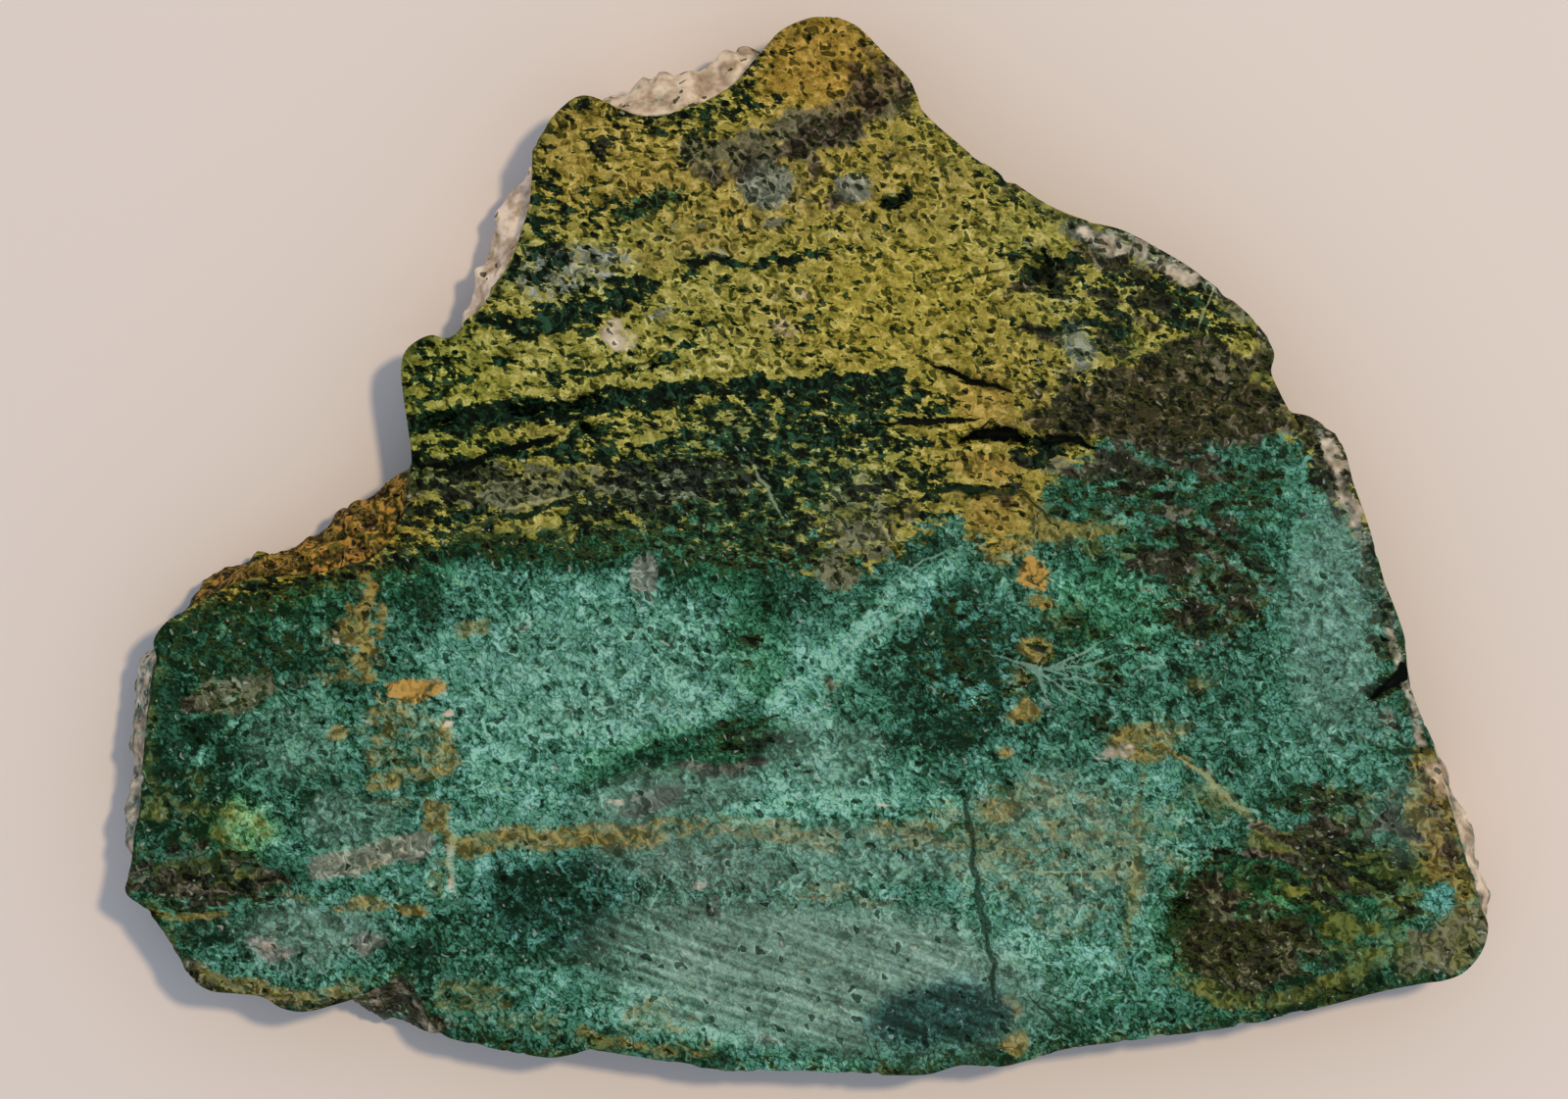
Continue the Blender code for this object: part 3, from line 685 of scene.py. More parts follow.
ovals("dark", [
    (-22.6, 5.4, 1.5, 0.5, 12, 1), (-19.4, 6.3, 1.5, 0.45, 5, 1), (-16.3, 6.5, 1.4, 0.5, 1),
    (-14, 6, 1, 0.5, -20, 0.9), (-24, 8, 2.4, 1, 5, 0.95), (-4.5, 9, 4.8, 1.6, 0.72),
    (-12, 8, 3.5, 0.8, 0.55), (-22, 4.6, 3, 0.6, 0.6), (-8.5, 3.8, 5, 1.6, 0.8), (3.5, 9.7, 5, 1.4, 0.9),
    (3, 7.3, 3, 0.7, 0.95), (-17.5, 18.5, 2.3, 1.3, 20, 0.75), (-17.3, 22.5, 1.5, 3, 0.6),
    (-13.2, 26.3, 1.1, 0.7, 0.85), (-15, 29.2, 0.8, 0.5, 0.8), (-10.5, 27.3, 1, 0.6, 0.7),
    (-6.8, 28.2, 1.2, 0.7, 0.8), (-5.6, 28.4, 0.9, 0.5, 0.8), (-7.3, 26.8, 1.2, 0.9, 0.65),
    (-2.2, 29, 0.7, 0.5, 0.8), (-7, 25.6, 1, 0.8, 0.6), (-25, 13.6, 0.8, 0.35, 0.9),
    (-24.5, 12, 2.5, 1.6, 0.55), (-10.6, 22.4, 2.3, 0.8, 17, 0.8), (-14.5, 21.5, 4, 2.2, 10, 0.5),
    (-14, 16.5, 4, 1.2, 8, 0.55), (-20, 12, 5, 2.4, 0.3), (-3, 14, 8, 3, 0.3), (-7.5, 5.5, 4, 1.5, 0.6),
    (-6, 0, 9, 1.6, -6, 0.62), (-17, -0.2, 8, 0.9, 0.6), (2, 4.6, 3, 1.2, 0.45), (-1.5, 1.6, 3.5, 2.2, 0.55),
    (6.1, 6.2, 1.6, 0.9, 0.75), (-3.5, 4.2, 6, 2.6, 0.82), (-3, 7.4, 6, 1.6, 0.8), (1.5, 7.2, 5, 1.8, 0.85),
    (-4, 0.6, 5, 2, -10, 0.75), (-12, 1.6, 5, 1.2, 0.75), (-23.5, 1.6, 2.5, 2, 0.7), (-18, 7.6, 8, 1.6, 0.72),
    (-33, -2, 5, 1.6, 20, 0.7), (6.5, 3.8, 2.8, 2, 0.62), (-24, 4.5, 2, 2.5, 0.6),
    (-26.5, -0.8, 2.4, 1.4, 0.75),
])
erase(["dark"], [
    (1.5, 31.5, 4.6, 3.6, 0.6), (-4, 11.6, 3.6, 1, 0.8), (-6.5, 19.8, 2.4, 0.7, 0.8),
    (-18.7, 7.4, 2.4, 0.5, 4, 0.7), (-10.2, 18.3, 1.4, 0.8, 0.8), (-9.6, 23.9, 1.6, 0.6, 0.6),
    (-20.4, 13.9, 1.4, 0.6, 0.7),
])
erase(["mustard"], [
    (-10.6, 22.4, 2.3, 0.8, 17, 0.8), (-4, 4.2, 7.5, 3.4, 0.5), (-12, 2.2, 5, 1.6, 0.35),
    (-4, 0.2, 8, 1.6, -6, 0.6),
])
show_shares("dark", "mustard")

# %% [markdown]
# ## The upper zone's other minerals
#
# Between the bands lie green lenses, grey and cream patches, warmer ochre, a smooth drab and brown
# lens under the knob, and thin olive streaks. Each is laid over the zone's own weights.

# %% Upper zone, green, grey and cream
ovals("emerald", [
    (-4, 3, 6, 3, 0.8), (-26, -2, 3, 2, 0.9), (-33, -3, 5, 2, 20, 0.8), (-1.5, 5.8, 3, 1.9, 0.9),
    (-11, 16.6, 1.8, 0.8, 10, 0.9), (-10.5, 22.3, 2.4, 0.9, 17, 1.3), (-3.5, 28.4, 1.8, 1, 0.8),
    (-25, 13.6, 0.8, 0.35, 0.8), (-15.5, 15.2, 6, 0.9, 12, 0.9), (-17, 9, 8, 0.8, 4, 0.7),
    (-6, 0.2, 10, 1.4, -6, 0.6), (-17, -0.4, 8, 1, 0.7), (-15.5, 22, 3, 2, 0.4), (-3, 18.6, 4, 0.8, 0.5),
])
ovals("grey", [
    (-15.8, 18, 3.8, 1.5, 14, 0.8), (-13.5, 19, 2, 0.7, 0.7), (-17.5, 18.7, 2.3, 1.2, 20, 0.6),
    (-2.9, 23.6, 1.75, 1.75, 1.25), (-2.5, 21, 1.2, 0.5, 0.8), (2.9, 23.7, 1.4, 1.1, 1.2),
    (-8.5, 3.8, 5, 1.4, 0.6), (3.5, 9.7, 4, 1.1, 0.35), (-3.5, 7.6, 3, 1.1, 0.45), (-6, 18.7, 1, 0.4, 0.6),
    (-9.8, 15.1, 1.2, 0.5, 0.7), (-13.5, 23.5, 2.5, 1.5, 0.35), (-1.8, 14.3, 1.6, 0.8, 0.45),
    (-1.5, 16.6, 1.6, 0.6, 0.45), (-10, 1.5, 4, 0.8, 10, 0.3), (-9, 20.6, 3, 0.7, 0.4),
])
ovals("cream", [
    (-12.3, 13.9, 1.3, 0.9, 0.85), (-6, 18.7, 0.8, 0.4, 0.45), (-17, 18.8, 1.6, 0.7, 14, 0.4),
    (-0.3, 16.7, 0.5, 0.4, 0.8), (-1.5, 14.3, 0.9, 0.6, 0.6), (-5, 17, 0.6, 0.3, 0.5),
    (-9.5, 15.2, 1, 0.4, 0.4),
])
show_shares("emerald", "grey", "cream")

# %% Upper zone, ochre, drab, olive and brown
ovals("ochre", [
    (-13.2, 26.3, 0.5, 0.35, 1), (-10, 19, 4.5, 1.4, 0.6), (-6, 21, 4, 1.6, 0.6),
    (-14.5, 27, 4, 2.6, 20, 0.6), (0.5, 32, 4, 3, 20, 0.6), (6, 21, 3, 2, 0.4), (-9, 24, 3, 1.4, 0.45),
    (-9.5, 7.9, 1.2, 0.6, 0.7), (-20, 7.4, 3, 0.5, 0.4), (-12, 29, 2.5, 0.7, -10, 0.5),
    (-6.6, 19.3, 2.6, 0.8, 0.9), (-10.4, 23.6, 2, 0.6, 0.7),
])
strips("drab", [
    (1, 0.85, [(-26, 4.4), (-20, 4.6), (-14, 4.4), (-8, 4.2), (-4, 4.6)]),
    (1.5, 1, [(-7, 25.4), (-3.5, 26.2), (0.5, 27.2), (3.6, 28.8), (6, 30.6)]),
])
ovals("drab", [
    (-20, 3.2, 5.5, 1.3, 8, 1), (-9, 3.6, 4, 1.6, 0.8), (-4, 26.3, 4, 1.2, 15, 0.85),
    (4.6, 28.6, 2.4, 1.4, 15, 1), (3.5, 2, 2.8, 2.8, 0.85), (1.5, -1.5, 1.4, 1.3, 0.9),
    (4.5, 3.2, 2.2, 1.8, 0.9), (-6, 24.5, 2, 0.9, 20, 0.5), (-15, 2.6, 3, 0.8, 0.4),
    (1.6, -9.4, 0.9, 0.8, 0.75), (1.8, -1.4, 1.6, 1.2, 1.1),
])
strips("olive", [
    (0.5, 0.8, [(-22, 0.3), (-18, 1), (-14, 1.5), (-10, 1.2)]), (0.4, 0.8, [(0, 5.3), (3, 5.5)]),
    (0.3, 0.6, [(4.7, 25.9), (6.8, 26.2)]),
])
ovals("brown", [
    (0.6, 26.8, 3.4, 1, 27, 1.1), (1.4, 22.7, 0.9, 0.8, 0.9), (4.8, 29.8, 2.6, 2, -40, 0.62),
    (-4, 25, 3.4, 1, 22, 0.6), (5, 28.6, 1.8, 0.6, 25, 0.7), (5.8, 25.2, 1.2, 0.6, 0.6),
    (7, 24.2, 0.8, 0.4, 0.6), (-22, 4.8, 3, 0.6, 0.7), (6, 2.5, 1.6, 1.6, 0.6), (-26, 2, 1.4, 2, 0.5),
    (-30, -1, 4, 0.8, 20, 0.5), (4, 31, 2.5, 1.5, -40, 0.45), (0, 0.5, 3, 1.4, 0.4),
    (-2, 25.2, 1.6, 0.5, 20, 0.6), (-0.2, 24.3, 1.2, 1.2, 0.7), (18.1, 11.6, 1.6, 0.9, 0.7),
])
show_shares("ochre", "drab", "olive", "brown")

# %% [markdown]
# ## The upper zone, right side
#
# To the right the bands end in bright ochre blocks between cracks, and a large brown-black lens
# lies over the boundary. The long slope has a grey-brown rim and a dark wedge inside it.

# %% Upper right, dark, brown and ochre
strips("dark", [
    (0.25, 1, [(8, 3.4), (11, 3.6), (14, 3.5)]), (0.18, 1, [(14.3, 14.4), (16, 14), (18.2, 14.3)]),
])
dashes("dark", [(0.3, 1, 73, 11, 19.5, 16, 5, 3.4, 1.8, -18)])
# The ovals on the lens pit and on the crystal pit are painted shade in those openings.
ovals("dark", [
    (23, 9.2, 8, 2.7, 0.62), (24.5, 12, 3, 1.6, 10, 0.6), (17.5, 8.6, 2, 1.2, 0.95), (14.5, 5.8, 1.2, 0.9, 1),
    (15.5, 6.6, 1.6, 0.8, 1), (17.5, 17.5, 3.5, 1.6, 0.6), (20, 17, 2, 1, 0.6),
    (25, 15.6, 3.5, 1.7, -25, 0.85), (13.8, 19.3, 0.8, 0.5, 1), (15.4, 18.2, 1.1, 1.6, 24, 0.8),
    (5.7, 22.6, 1.3, 0.5, 14, 1), (33.7, 4.3, 0.9, 0.9, 0.9), (12.5, 23.8, 2.5, 0.9, -30, 0.55),
    (9.3, 25, 0.6, 0.6, 0.6), (34, 6, 1.4, 1.4, 0.6), (7.6, 9, 2.2, 1, 0.75), (19, 14.5, 3, 1.2, 0.45),
    (16, 11, 2, 1.2, 0.55), (30.5, 9.3, 2, 1.2, 0.7), (8, 6.3, 2.2, 0.6, 0.6), (22, 13, 3, 1, 0.5),
])
strips("brown", [
    (1.2, 0.75, [(30, 10.2), (32, 8.2), (33.8, 6.4), (34.9, 4.4), (35.6, 2.4)]),
    (0.7, 0.4, [(13, 23.6), (18, 20.8), (24, 18.3), (29, 15)]),
])
dashes("brown", [(0.4, 1, 74, 12, 19, 16, 5, 3.2, 2.2, -18)])
ovals("brown", [
    (23.2, 9, 8.4, 2.9, 1.3), (25, 11.6, 4.2, 1.8, 10, 1.05), (16, 8, 2, 1, 0.4), (15.8, 13.5, 1, 0.8, 0.7),
    (15, 17, 2.6, 2.6, 0.4), (30, 12.6, 1.2, 1.8, 20, 0.6), (14, 2.4, 1.4, 0.8, 0.5), (19, 16, 3, 1.5, 0.4),
])
strips("ochre", [(0.7, 0.7, [(32.2, 8.6), (33.6, 7.8), (34.6, 6.6)])])
ovals("ochre", [
    (11.5, 9.8, 2.2, 1.8, 0.95), (12.5, 8, 1.6, 1, 0.9), (12, 5.2, 2.8, 1.2, 0.95), (13, 2.2, 3, 1.8, 0.95),
    (10.5, 2.5, 2, 1.2, 0.5), (18, 11.8, 1.2, 0.6, 0.4),
])
show_shares("dark", "brown", "ochre")

# %% Upper right, grey, cream, drab, olive and green
strips("grey", [
    (0.8, 1, [(18, 21), (21, 19.9), (24, 18.6), (27, 16.8)]),
    (0.6, 1.1, [(33.4, 7.8), (35, 5.6), (35.8, 3.4), (36.6, 1), (37.2, -1)]),
    (0.5, 0.9, [(37.8, -3), (39.2, -8), (40.2, -12.4)]),
])
ovals("grey", [
    (16.3, 5.4, 1.3, 0.7, 0.9), (17.7, 13.2, 0.9, 1.5, 0.95), (20.8, 19.1, 1.1, 0.7, 0.8),
    (22, 18.6, 0.8, 0.5, 0.7), (17.5, 17, 3, 1.4, 0.4), (15.8, 18.8, 0.7, 1.1, 24, 0.5),
    (25, 15.4, 3, 1.2, -25, 0.35), (23, 9.3, 6, 1.6, 0.34), (13.4, 4, 0.5, 0.3, 0.9),
])
strips("cream", [
    (0.7, 0.66, [(19, 20.6), (22, 19.2), (25, 17.4)]),
    (0.6, 0.66, [(34.2, 6.8), (35.1, 4.8), (35.9, 3.2), (36.4, 1.6)]),
    (0.45, 0.62, [(38.4, -6), (39.2, -8.4), (39.8, -10.6)]),
    (0.5, 0.6, [(40.2, -12.2), (41.2, -14.8), (41.8, -16.4)]),
])
strips("drab", [
    (1.1, 0.8, [(30.5, 9.6), (32.5, 7.8), (34, 6.2), (35, 4.4)]),
    (0.9, 1, [(17.5, 21.3), (20, 20), (22.5, 19.3), (24.5, 18.2), (27, 16.8), (29.3, 15)]),
])
strips("olive", [(0.9, 0.9, [(25.5, 13.6), (27.5, 12.5), (29.5, 11.5), (30.2, 12.5)])])
ovals("olive", [(20.5, 13.3, 2.2, 1.3, 0.9), (9.3, 25, 0.9, 0.8, 0.7), (22, 17, 2, 1, 0.5)])
ovals("emerald", [(12.5, 23.8, 2.5, 0.9, -30, 0.6), (14.5, 5.8, 1.2, 0.9, 0.6), (16, 3.5, 1.5, 0.8, 0.6)])
show_shares("grey", "cream", "drab", "olive", "emerald")

# %% [markdown]
# ## The lower zone's light and dark teal
#
# The chrysocolla itself runs from a pale, woolly teal to pools that are almost black. One number,
# the lightness, says where on that range the stone is. The strokes are laid from large to small,
# and short pale dashes at the end stand for the fibres in the pools.

# %% Lower zone, light and dark
shades([
    (-38, -6.5, 6, 4.5, 0.12), (-40, -14, 4.5, 6, 0.15), (-37.5, -9.2, 3.3, 1.1, 8, 0.2),
    (-33, -12, 3.5, 3, 0.5), (-31, -17, 3, 2.5, 0.5), (-29, -6, 3.2, 4.5, 0.25), (-15, -7.5, 12.5, 6.8, 0.66),
    (-14, -10.5, 8, 3, 0.74), (-25, -16, 2.5, 4, 0.45), (-17, -15.5, 7, 2.2, 8, 0.62),
    (-15, -0.9, 9, 1, 0.25), (-41.5, -17, 2.5, 2.5, 0.15), (-36, -18.2, 2.6, 1.8, 0.66),
    (-32.5, -17, 2.5, 2.5, 0.35), (-34, -25.5, 6, 2.2, 0.5), (-30, -28.5, 5, 1, 0.5),
    (-38.5, -21.7, 5.5, 1.4, -5, 0.2), (-30, -22.5, 4, 1.2, 0.5), (-25.8, -26, 2.3, 2.2, 0.15),
    (-17, -23.3, 5.3, 3.1, 0.12), (-20, -26.5, 4, 2, 0.34), (-12, -14.7, 3.8, 1.1, 18, 0.26),
    (-5.2, -13.3, 4.3, 1.75, 6, 0.22), (-3.6, -5.2, 2.2, 3.4, 0.38), (-3, -3, 3.5, 1.8, 0.22),
    (-8.5, -2.2, 3, 1.2, 0.35), (-10.8, -2.6, 1.4, 1.6, 0.6),
])
shade_strips([
    (1.5, 0.74, [(-1, -11.5), (0, -9.5), (3, -6.5), (6, -4.5), (9, -1.5)]),
    (0.8, 0.82, [(0, -9), (3, -6), (6, -4), (8.4, -1.8)]), (1.2, 0.74, [(-0.6, -7), (-1, -10), (0, -14)]),
    (0.8, 0.1, [(-25, -0.5), (-19, -0.2), (-14, 0)]),
    (0.9, 0.27, [(-13.5, 0), (-9, -1.1), (-5, -1.7), (-1, -2.6)]),
])
shades([
    (-0.5, -11, 1.6, 3, 0.68), (2.5, -15.5, 6, 2, 5, 0.66), (8, 0, 3, 1.5, 0.55), (8.2, -9.5, 3.8, 5.6, 0.22),
    (10, -7.5, 2.7, 5, 0.16), (9.3, -12.6, 2.4, 1.8, 0.13), (4.5, -10, 1.6, 2.4, 0.38),
    (6.8, -4.6, 2.2, 1.2, 40, 0.6), (20, -4, 4, 3, 0.46), (17, -7, 4, 2.5, 0.3), (18, -12, 4, 2, 0.36),
    (26, -2.5, 4.5, 4, 0.3), (24, 2.5, 9.5, 3.2, 0.33), (34.5, -4, 3.4, 9.5, 0.58), (29, -12.5, 5, 3, 0.52),
    (36, -12.6, 3.4, 2.4, 0.5), (32.5, -16.5, 3, 0.8, 0.24), (37, -17, 3, 1.8, 0.36), (27, -8.5, 4, 3, 0.38),
    (22, -15.5, 4, 2.2, 0.5), (24, -19, 2.6, 2, 0.5), (33.5, -18.9, 2.2, 0.9, 0.05),
    (37, -21.5, 5, 1.5, 0.25), (30, -22, 3, 2, 0.34), (27.4, -25.4, 4.2, 4.5, 0.05),
    (33, -25.5, 4, 2.6, -10, 0.2), (17.5, -21, 4.2, 6.5, 0.6), (14, -26.5, 4, 2, 0.64),
    (20, -28.6, 5, 2.2, 0.56), (19, -31.5, 5, 1.4, 0.4), (1, -28, 14, 4.6, -6, 0.62),
    (-8, -22.5, 6.5, 2.2, 0.46), (2, -21, 6, 2.2, 0.58), (8.5, -31, 4.6, 2.1, 8, 0.12),
    (2, -33, 5, 1.2, 0.45), (12, -33.4, 2, 0.7, 0.15), (-16, -29.5, 4, 2, 0.5), (-10, -30.5, 3.4, 1.6, 0.66),
    (-22, -22, 1.6, 3, 0.4), (11.5, -22.5, 1.8, 3, 0.7), (-27, -25, 1.6, 1, 0.5), (-20, -18.2, 4, 1, 0.66),
    (-10, -12.2, 4, 0.9, 14, 0.72), (-39.5, -24.8, 2, 1, 0.2), (1.5, -16.7, 4, 1, 0.85),
    (-4.5, -32, 3.5, 1, 0.74), (-14.4, -25.2, 3, 1.6, 0.22), (27, -14, 2.4, 1.4, 0.36),
    (-36.5, -25, 2, 1.4, 0.36), (-3.6, -18, 3, 0.9, 0.8), (22, -15.6, 2, 1.2, 0.7),
    (23.6, -17.4, 1.6, 1, 0.68), (18.3, -27.2, 2.4, 1.3, 0.72), (6.9, 0.2, 2, 1.2, 0.25),
    (34.6, -29.2, 4.4, 0.9, 14, 0.04), (-0.4, -34.4, 4, 0.6, 0.66), (-3.8, -12.9, 3.2, 1.9, 4, 0.3),
    (28.5, 5.8, 3.4, 1.4, 0.34), (-2.5, -8, 1.6, 1.6, 0.6), (-0.9, -10.6, 2, 2.2, 0.8),
    (-15, -14.3, 2.4, 1.2, 12, 0.7), (35.6, -13.8, 2, 1.4, 0.55), (-17, -20.3, 4.4, 0.7, 0.46),
    (24.3, -20.1, 1.8, 1.3, 0.66), (-9.7, -30.4, 3, 1.4, 0.8), (-24, -21.5, 1.6, 1.4, 0.62),
    (-20.5, -3.6, 3, 1.6, 0.5), (8.8, -17.1, 2, 1, 0.72), (32, 4, 1.6, 1.4, 0.55),
    (-4, -29.8, 4, 1.4, -8, 0.74), (-5.6, -4, 1.8, 1.6, 0.5), (-7, -6.6, 1.8, 2, 0.68),
    (-20.6, -14.2, 2.4, 1.6, 0.78), (22.2, -24.7, 1.3, 2, 0.62), (-25.1, -3.8, 1.6, 1.6, 0.2),
    (-16.4, -27, 2, 0.9, 0.2), (-43.2, -16.7, 1, 2, 0.05), (-39.5, -25.5, 1.6, 1, 0.15),
    (32.4, -28.8, 2.4, 0.8, 10, 0.05), (14.5, -26.4, 1.8, 1.4, 0.85), (-20.4, -20.8, 2.2, 0.7, 0.64),
    (-36.3, -15.5, 1.6, 1.2, 0.45),
])
shade_dashes([
    (0.26, 0.6, 75, 14, 9, -9.5, 4.5, 6, 1.6, 60), (0.35, 0.6, 76, 14, 24, 0, 9, 5, 2.6, -10),
    (0.3, 0.62, 77, 12, 19.5, -5, 5, 3.5, 2.4, -14), (0.35, 0.5, 78, 12, 34, -24.5, 6.5, 3.4, 2.6, -14),
    (0.3, 0.55, 79, 12, -38, -10, 4.5, 7, 1.6, 30),
])
print("lightness on the face:", np.round(np.percentile(paint["light"][is_face], [5, 50, 95]), 2))

# %% [markdown]
# ## The lower zone's iron stains
#
# Iron has stained the teal along old cracks: an upright ochre vein on the left, a level band across
# the middle, a column right of the dark pool and a rusty strip down the right flank. A few spots
# are a clear orange.

# %% Lower zone, ochre and orange
strips("ochre", [
    (0.45, 0.95, [(-29.3, -1.5), (-28.6, -2.9), (-29.4, -4.4), (-28.7, -6), (-29.3, -7.5), (-28.7, -9)]),
    (0.5, 0.8, [(-24, -12), (-23.6, -13.8), (-24.3, -14.8)]), (0.4, 0.65, [(-28.5, -15), (-26, -14.9)]),
    (0.9, 0.82, [(-22.3, -19.6), (-18, -19.2), (-14, -18.8), (-10, -18.9)]),
    (0.8, 0.6, [(-11, -18.9), (-6, -18.6), (-2, -19), (1.4, -19.7)]),
    (0.45, 0.4, [(22, -15), (22.2, -19), (21.5, -24), (21, -28)]), (0.4, 0.7, [(-29.2, -21.2), (-28, -20.9)]),
    (0.42, 0.66, [(23, -13.6), (24.4, -13.9), (26, -15.2), (28.3, -17.2), (31, -19.5), (33, -20.6)]),
    (0.45, 0.6, [(-15, -32.3), (-11, -32.8), (-7, -33.3)]),
    (1.4, 0.86, [(40.8, -14.5), (41.5, -17), (42, -20), (42.8, -23)]),
    (0.9, 0.66, [(-39.6, -28.4), (-38, -28.8), (-36, -29), (-34.5, -29.5), (-32.5, -29.6), (-30, -29.3)]),
])
dashes("ochre", [
    (0.3, 0.85, 92, 12, -29.3, -5.4, 1.5, 4, 1.6, 76), (0.3, 0.62, 93, 12, 15.5, -18.4, 4.5, 2, 2.6, 0),
])
ovals("ochre", [
    (-31.5, -8.7, 2.2, 0.8, 0.55), (-27, -11.3, 2.5, 0.9, 0.6), (-31.2, -12.4, 0.7, 0.6, 0.95),
    (-28, -13, 2, 0.5, 0.55), (-27.5, -16.7, 1.6, 0.5, 0.5), (-24.5, -17.8, 1.2, 1.5, 0.8),
    (-23.5, -19.3, 0.6, 0.7, 0.8), (-22.5, -5.5, 1.3, 0.7, 0.75), (-41, -24.2, 3, 0.5, 3, 0.75),
    (-33.5, -23.3, 1.2, 0.4, 0.65), (-29.5, -23.7, 1.5, 0.5, 0.75), (-26.5, -23.8, 1.4, 0.5, 0.85),
    (-30, -7, 2.6, 2.4, 0.45), (-29.4, -4.4, 1.2, 2.4, 0.45), (-26.5, -13, 3.4, 2.6, 0.5),
    (16, -19.5, 8, 4.5, 0.5), (-26.8, -15.2, 2.6, 0.6, 0.75), (27, -3, 4, 3, 0.42),
    (22, -12.8, 2.6, 1.6, 0.8), (13, -0.3, 1.8, 0.8, 0.8), (39.5, -23.6, 1.2, 1, 0.7),
    (24.6, -20.6, 1.4, 0.8, 0.55), (-24, -21.6, 1, 1.4, 0.5), (14.7, -6.7, 1.3, 0.7, 1),
    (13.3, -8.8, 1.4, 1, 0.78), (14.2, -10.9, 1.8, 0.9, 1.05), (12.8, -13.7, 0.8, 0.7, 0.95),
    (12.7, -17.4, 1.8, 0.8, 0.75), (12.2, -20, 1, 1.8, 0.65), (9, -7.1, 1, 0.6, 0.6),
    (1.6, -9.4, 0.8, 0.6, 0.4), (15.1, -3.4, 0.9, 0.5, 0.9), (17, 0.8, 3, 0.9, 0.9), (19.5, 1.2, 2, 0.8, 0.7),
    (10, -17.6, 2, 0.7, 0.5), (26, -9, 1.6, 0.8, 0.5), (22.5, -12.3, 3, 1.2, 0.65),
    (20.5, -21.3, 1.5, 0.8, 0.7), (13.4, -30.5, 0.8, 0.8, 0.85), (13.6, -32.8, 1.1, 1, 0.95),
    (1, -22.6, 2.6, 0.8, 10, 0.55), (4, -23.6, 2, 0.6, 0.4), (-9, -20, 8, 1, 0.3), (17, -22, 3.5, 5, 0.4),
    (34, -20.2, 4, 1, 0.6), (41, -19, 1.9, 4.6, 8, 0.85), (6.5, -19, 4, 1.2, 0.6), (8.6, -17.4, 2, 0.9, 0.5),
    (-22, -29.5, 3, 1.3, 0.42), (26, -1, 3, 1.4, 0.25), (-33, -9, 3, 2, 0.3), (-10, -31, 3, 1.2, 0.5),
])
ovals("orange", [
    (-26, -9.6, 1.9, 0.9, 12, 1.1), (-24.6, -9.5, 1, 0.5, -20, 0.8), (14.8, -1.8, 1.1, 0.9, 1),
    (15.6, -3.9, 0.6, 0.5, 0.8), (-27.2, -10.2, 1.2, 0.7, 0.6), (14, -11, 1, 0.5, 0.4),
    (12.6, -17.4, 1.1, 0.4, 0.45), (-11.5, -19, 1.6, 0.4, 0.45), (11.8, 5.4, 1.8, 0.8, 0.35),
    (-29, -21.1, 1, 0.35, 0.5),
])
show_shares("ochre", "orange")

# %% [markdown]
# ## The lower zone's dark patches
#
# Brown and olive patches lie at the right corner, on the left lobe and under the boundary, broken
# up by short level dashes. Darker spots on the pits are painted shade, and greener pools lie between
# them.

# %% Lower zone, brown and olive
strips("brown", [
    (1, 0.6, [(41.2, -15.5), (41.8, -18), (42.4, -21)]),
    (0.3, 0.8, [(-44, -23.5), (-42.5, -26), (-40.5, -28), (-38, -29.3), (-34.5, -30.1), (-31, -30)]),
])
dashes("brown", [
    (0.38, 1.1, 81, 12, 25.8, -2, 4.6, 3.6, 2.4, -12), (0.4, 1.1, 82, 14, 35, -20.6, 5.4, 2.6, 3, -20),
    (0.32, 1, 83, 8, -38.5, -22, 5, 2, 2.6, -4), (0.35, 1, 84, 10, 24, 4, 7, 1.8, 2.4, -4),
])
ovals("brown", [
    (-39, -21.5, 5.5, 1.6, -5, 0.52), (-35.5, -22, 1.5, 0.8, 0.85), (-5.6, -14.8, 3.2, 0.45, 4, 0.95),
    (-10.5, -17, 2.5, 0.7, 10, 0.6), (1.5, -9.5, 0.8, 0.7, 0.4), (26, -2.5, 4.5, 4, 0.35),
    (36, -17.5, 4, 2, 0.4), (33.5, -18.9, 2.2, 0.9, 0.9), (28.4, -26.8, 4.2, 2.5, -6, 1.05),
    (26.8, -23.2, 1.9, 1.9, 0.9), (31.2, -25.4, 3.2, 1.5, -14, 0.8), (33.5, -27.2, 3, 0.9, -8, 0.6),
    (37.5, -12, 2, 1.8, 0.2), (24, 2.5, 8, 2.6, 0.3), (-41, -19.5, 2, 1, 0.5), (-24.5, -31.5, 1.6, 0.8, 0.8),
    (-27.5, -30.6, 2, 1, 0.6), (12.5, -31.5, 1, 1.4, 0.5), (24, -21, 2.5, 1.2, 0.3), (22.5, 5.5, 6, 0.7, 0.5),
    (-36, -8, 3, 3, 0.3), (-0.6, 22.6, 0.9, 1.1, 0.4), (-40.2, -10.4, 1.4, 0.6, 30, 0.6),
    (-36, -8, 1.2, 0.5, -20, 0.6),
])
strips("olive", [
    (0.9, 0.5, [(-39.8, -28.3), (-38, -28.8), (-36, -29), (-34.5, -29.5), (-32.5, -29.6), (-30.5, -29.4),
                (-29, -29)]),
    (0.6, 0.8, [(24.5, -29), (28, -30), (33, -29.2), (36, -28)]),
    (0.5, 0.7, [(22.2, -13), (21.8, -17), (21.4, -22), (21, -27)]),
    (0.5, 0.6, [(-17, -32.6), (-12, -32.6), (-7, -33.2)]),
])
dashes("olive", [(0.4, 1, 85, 14, 34.5, -24, 6, 3.2, 3, -16)])
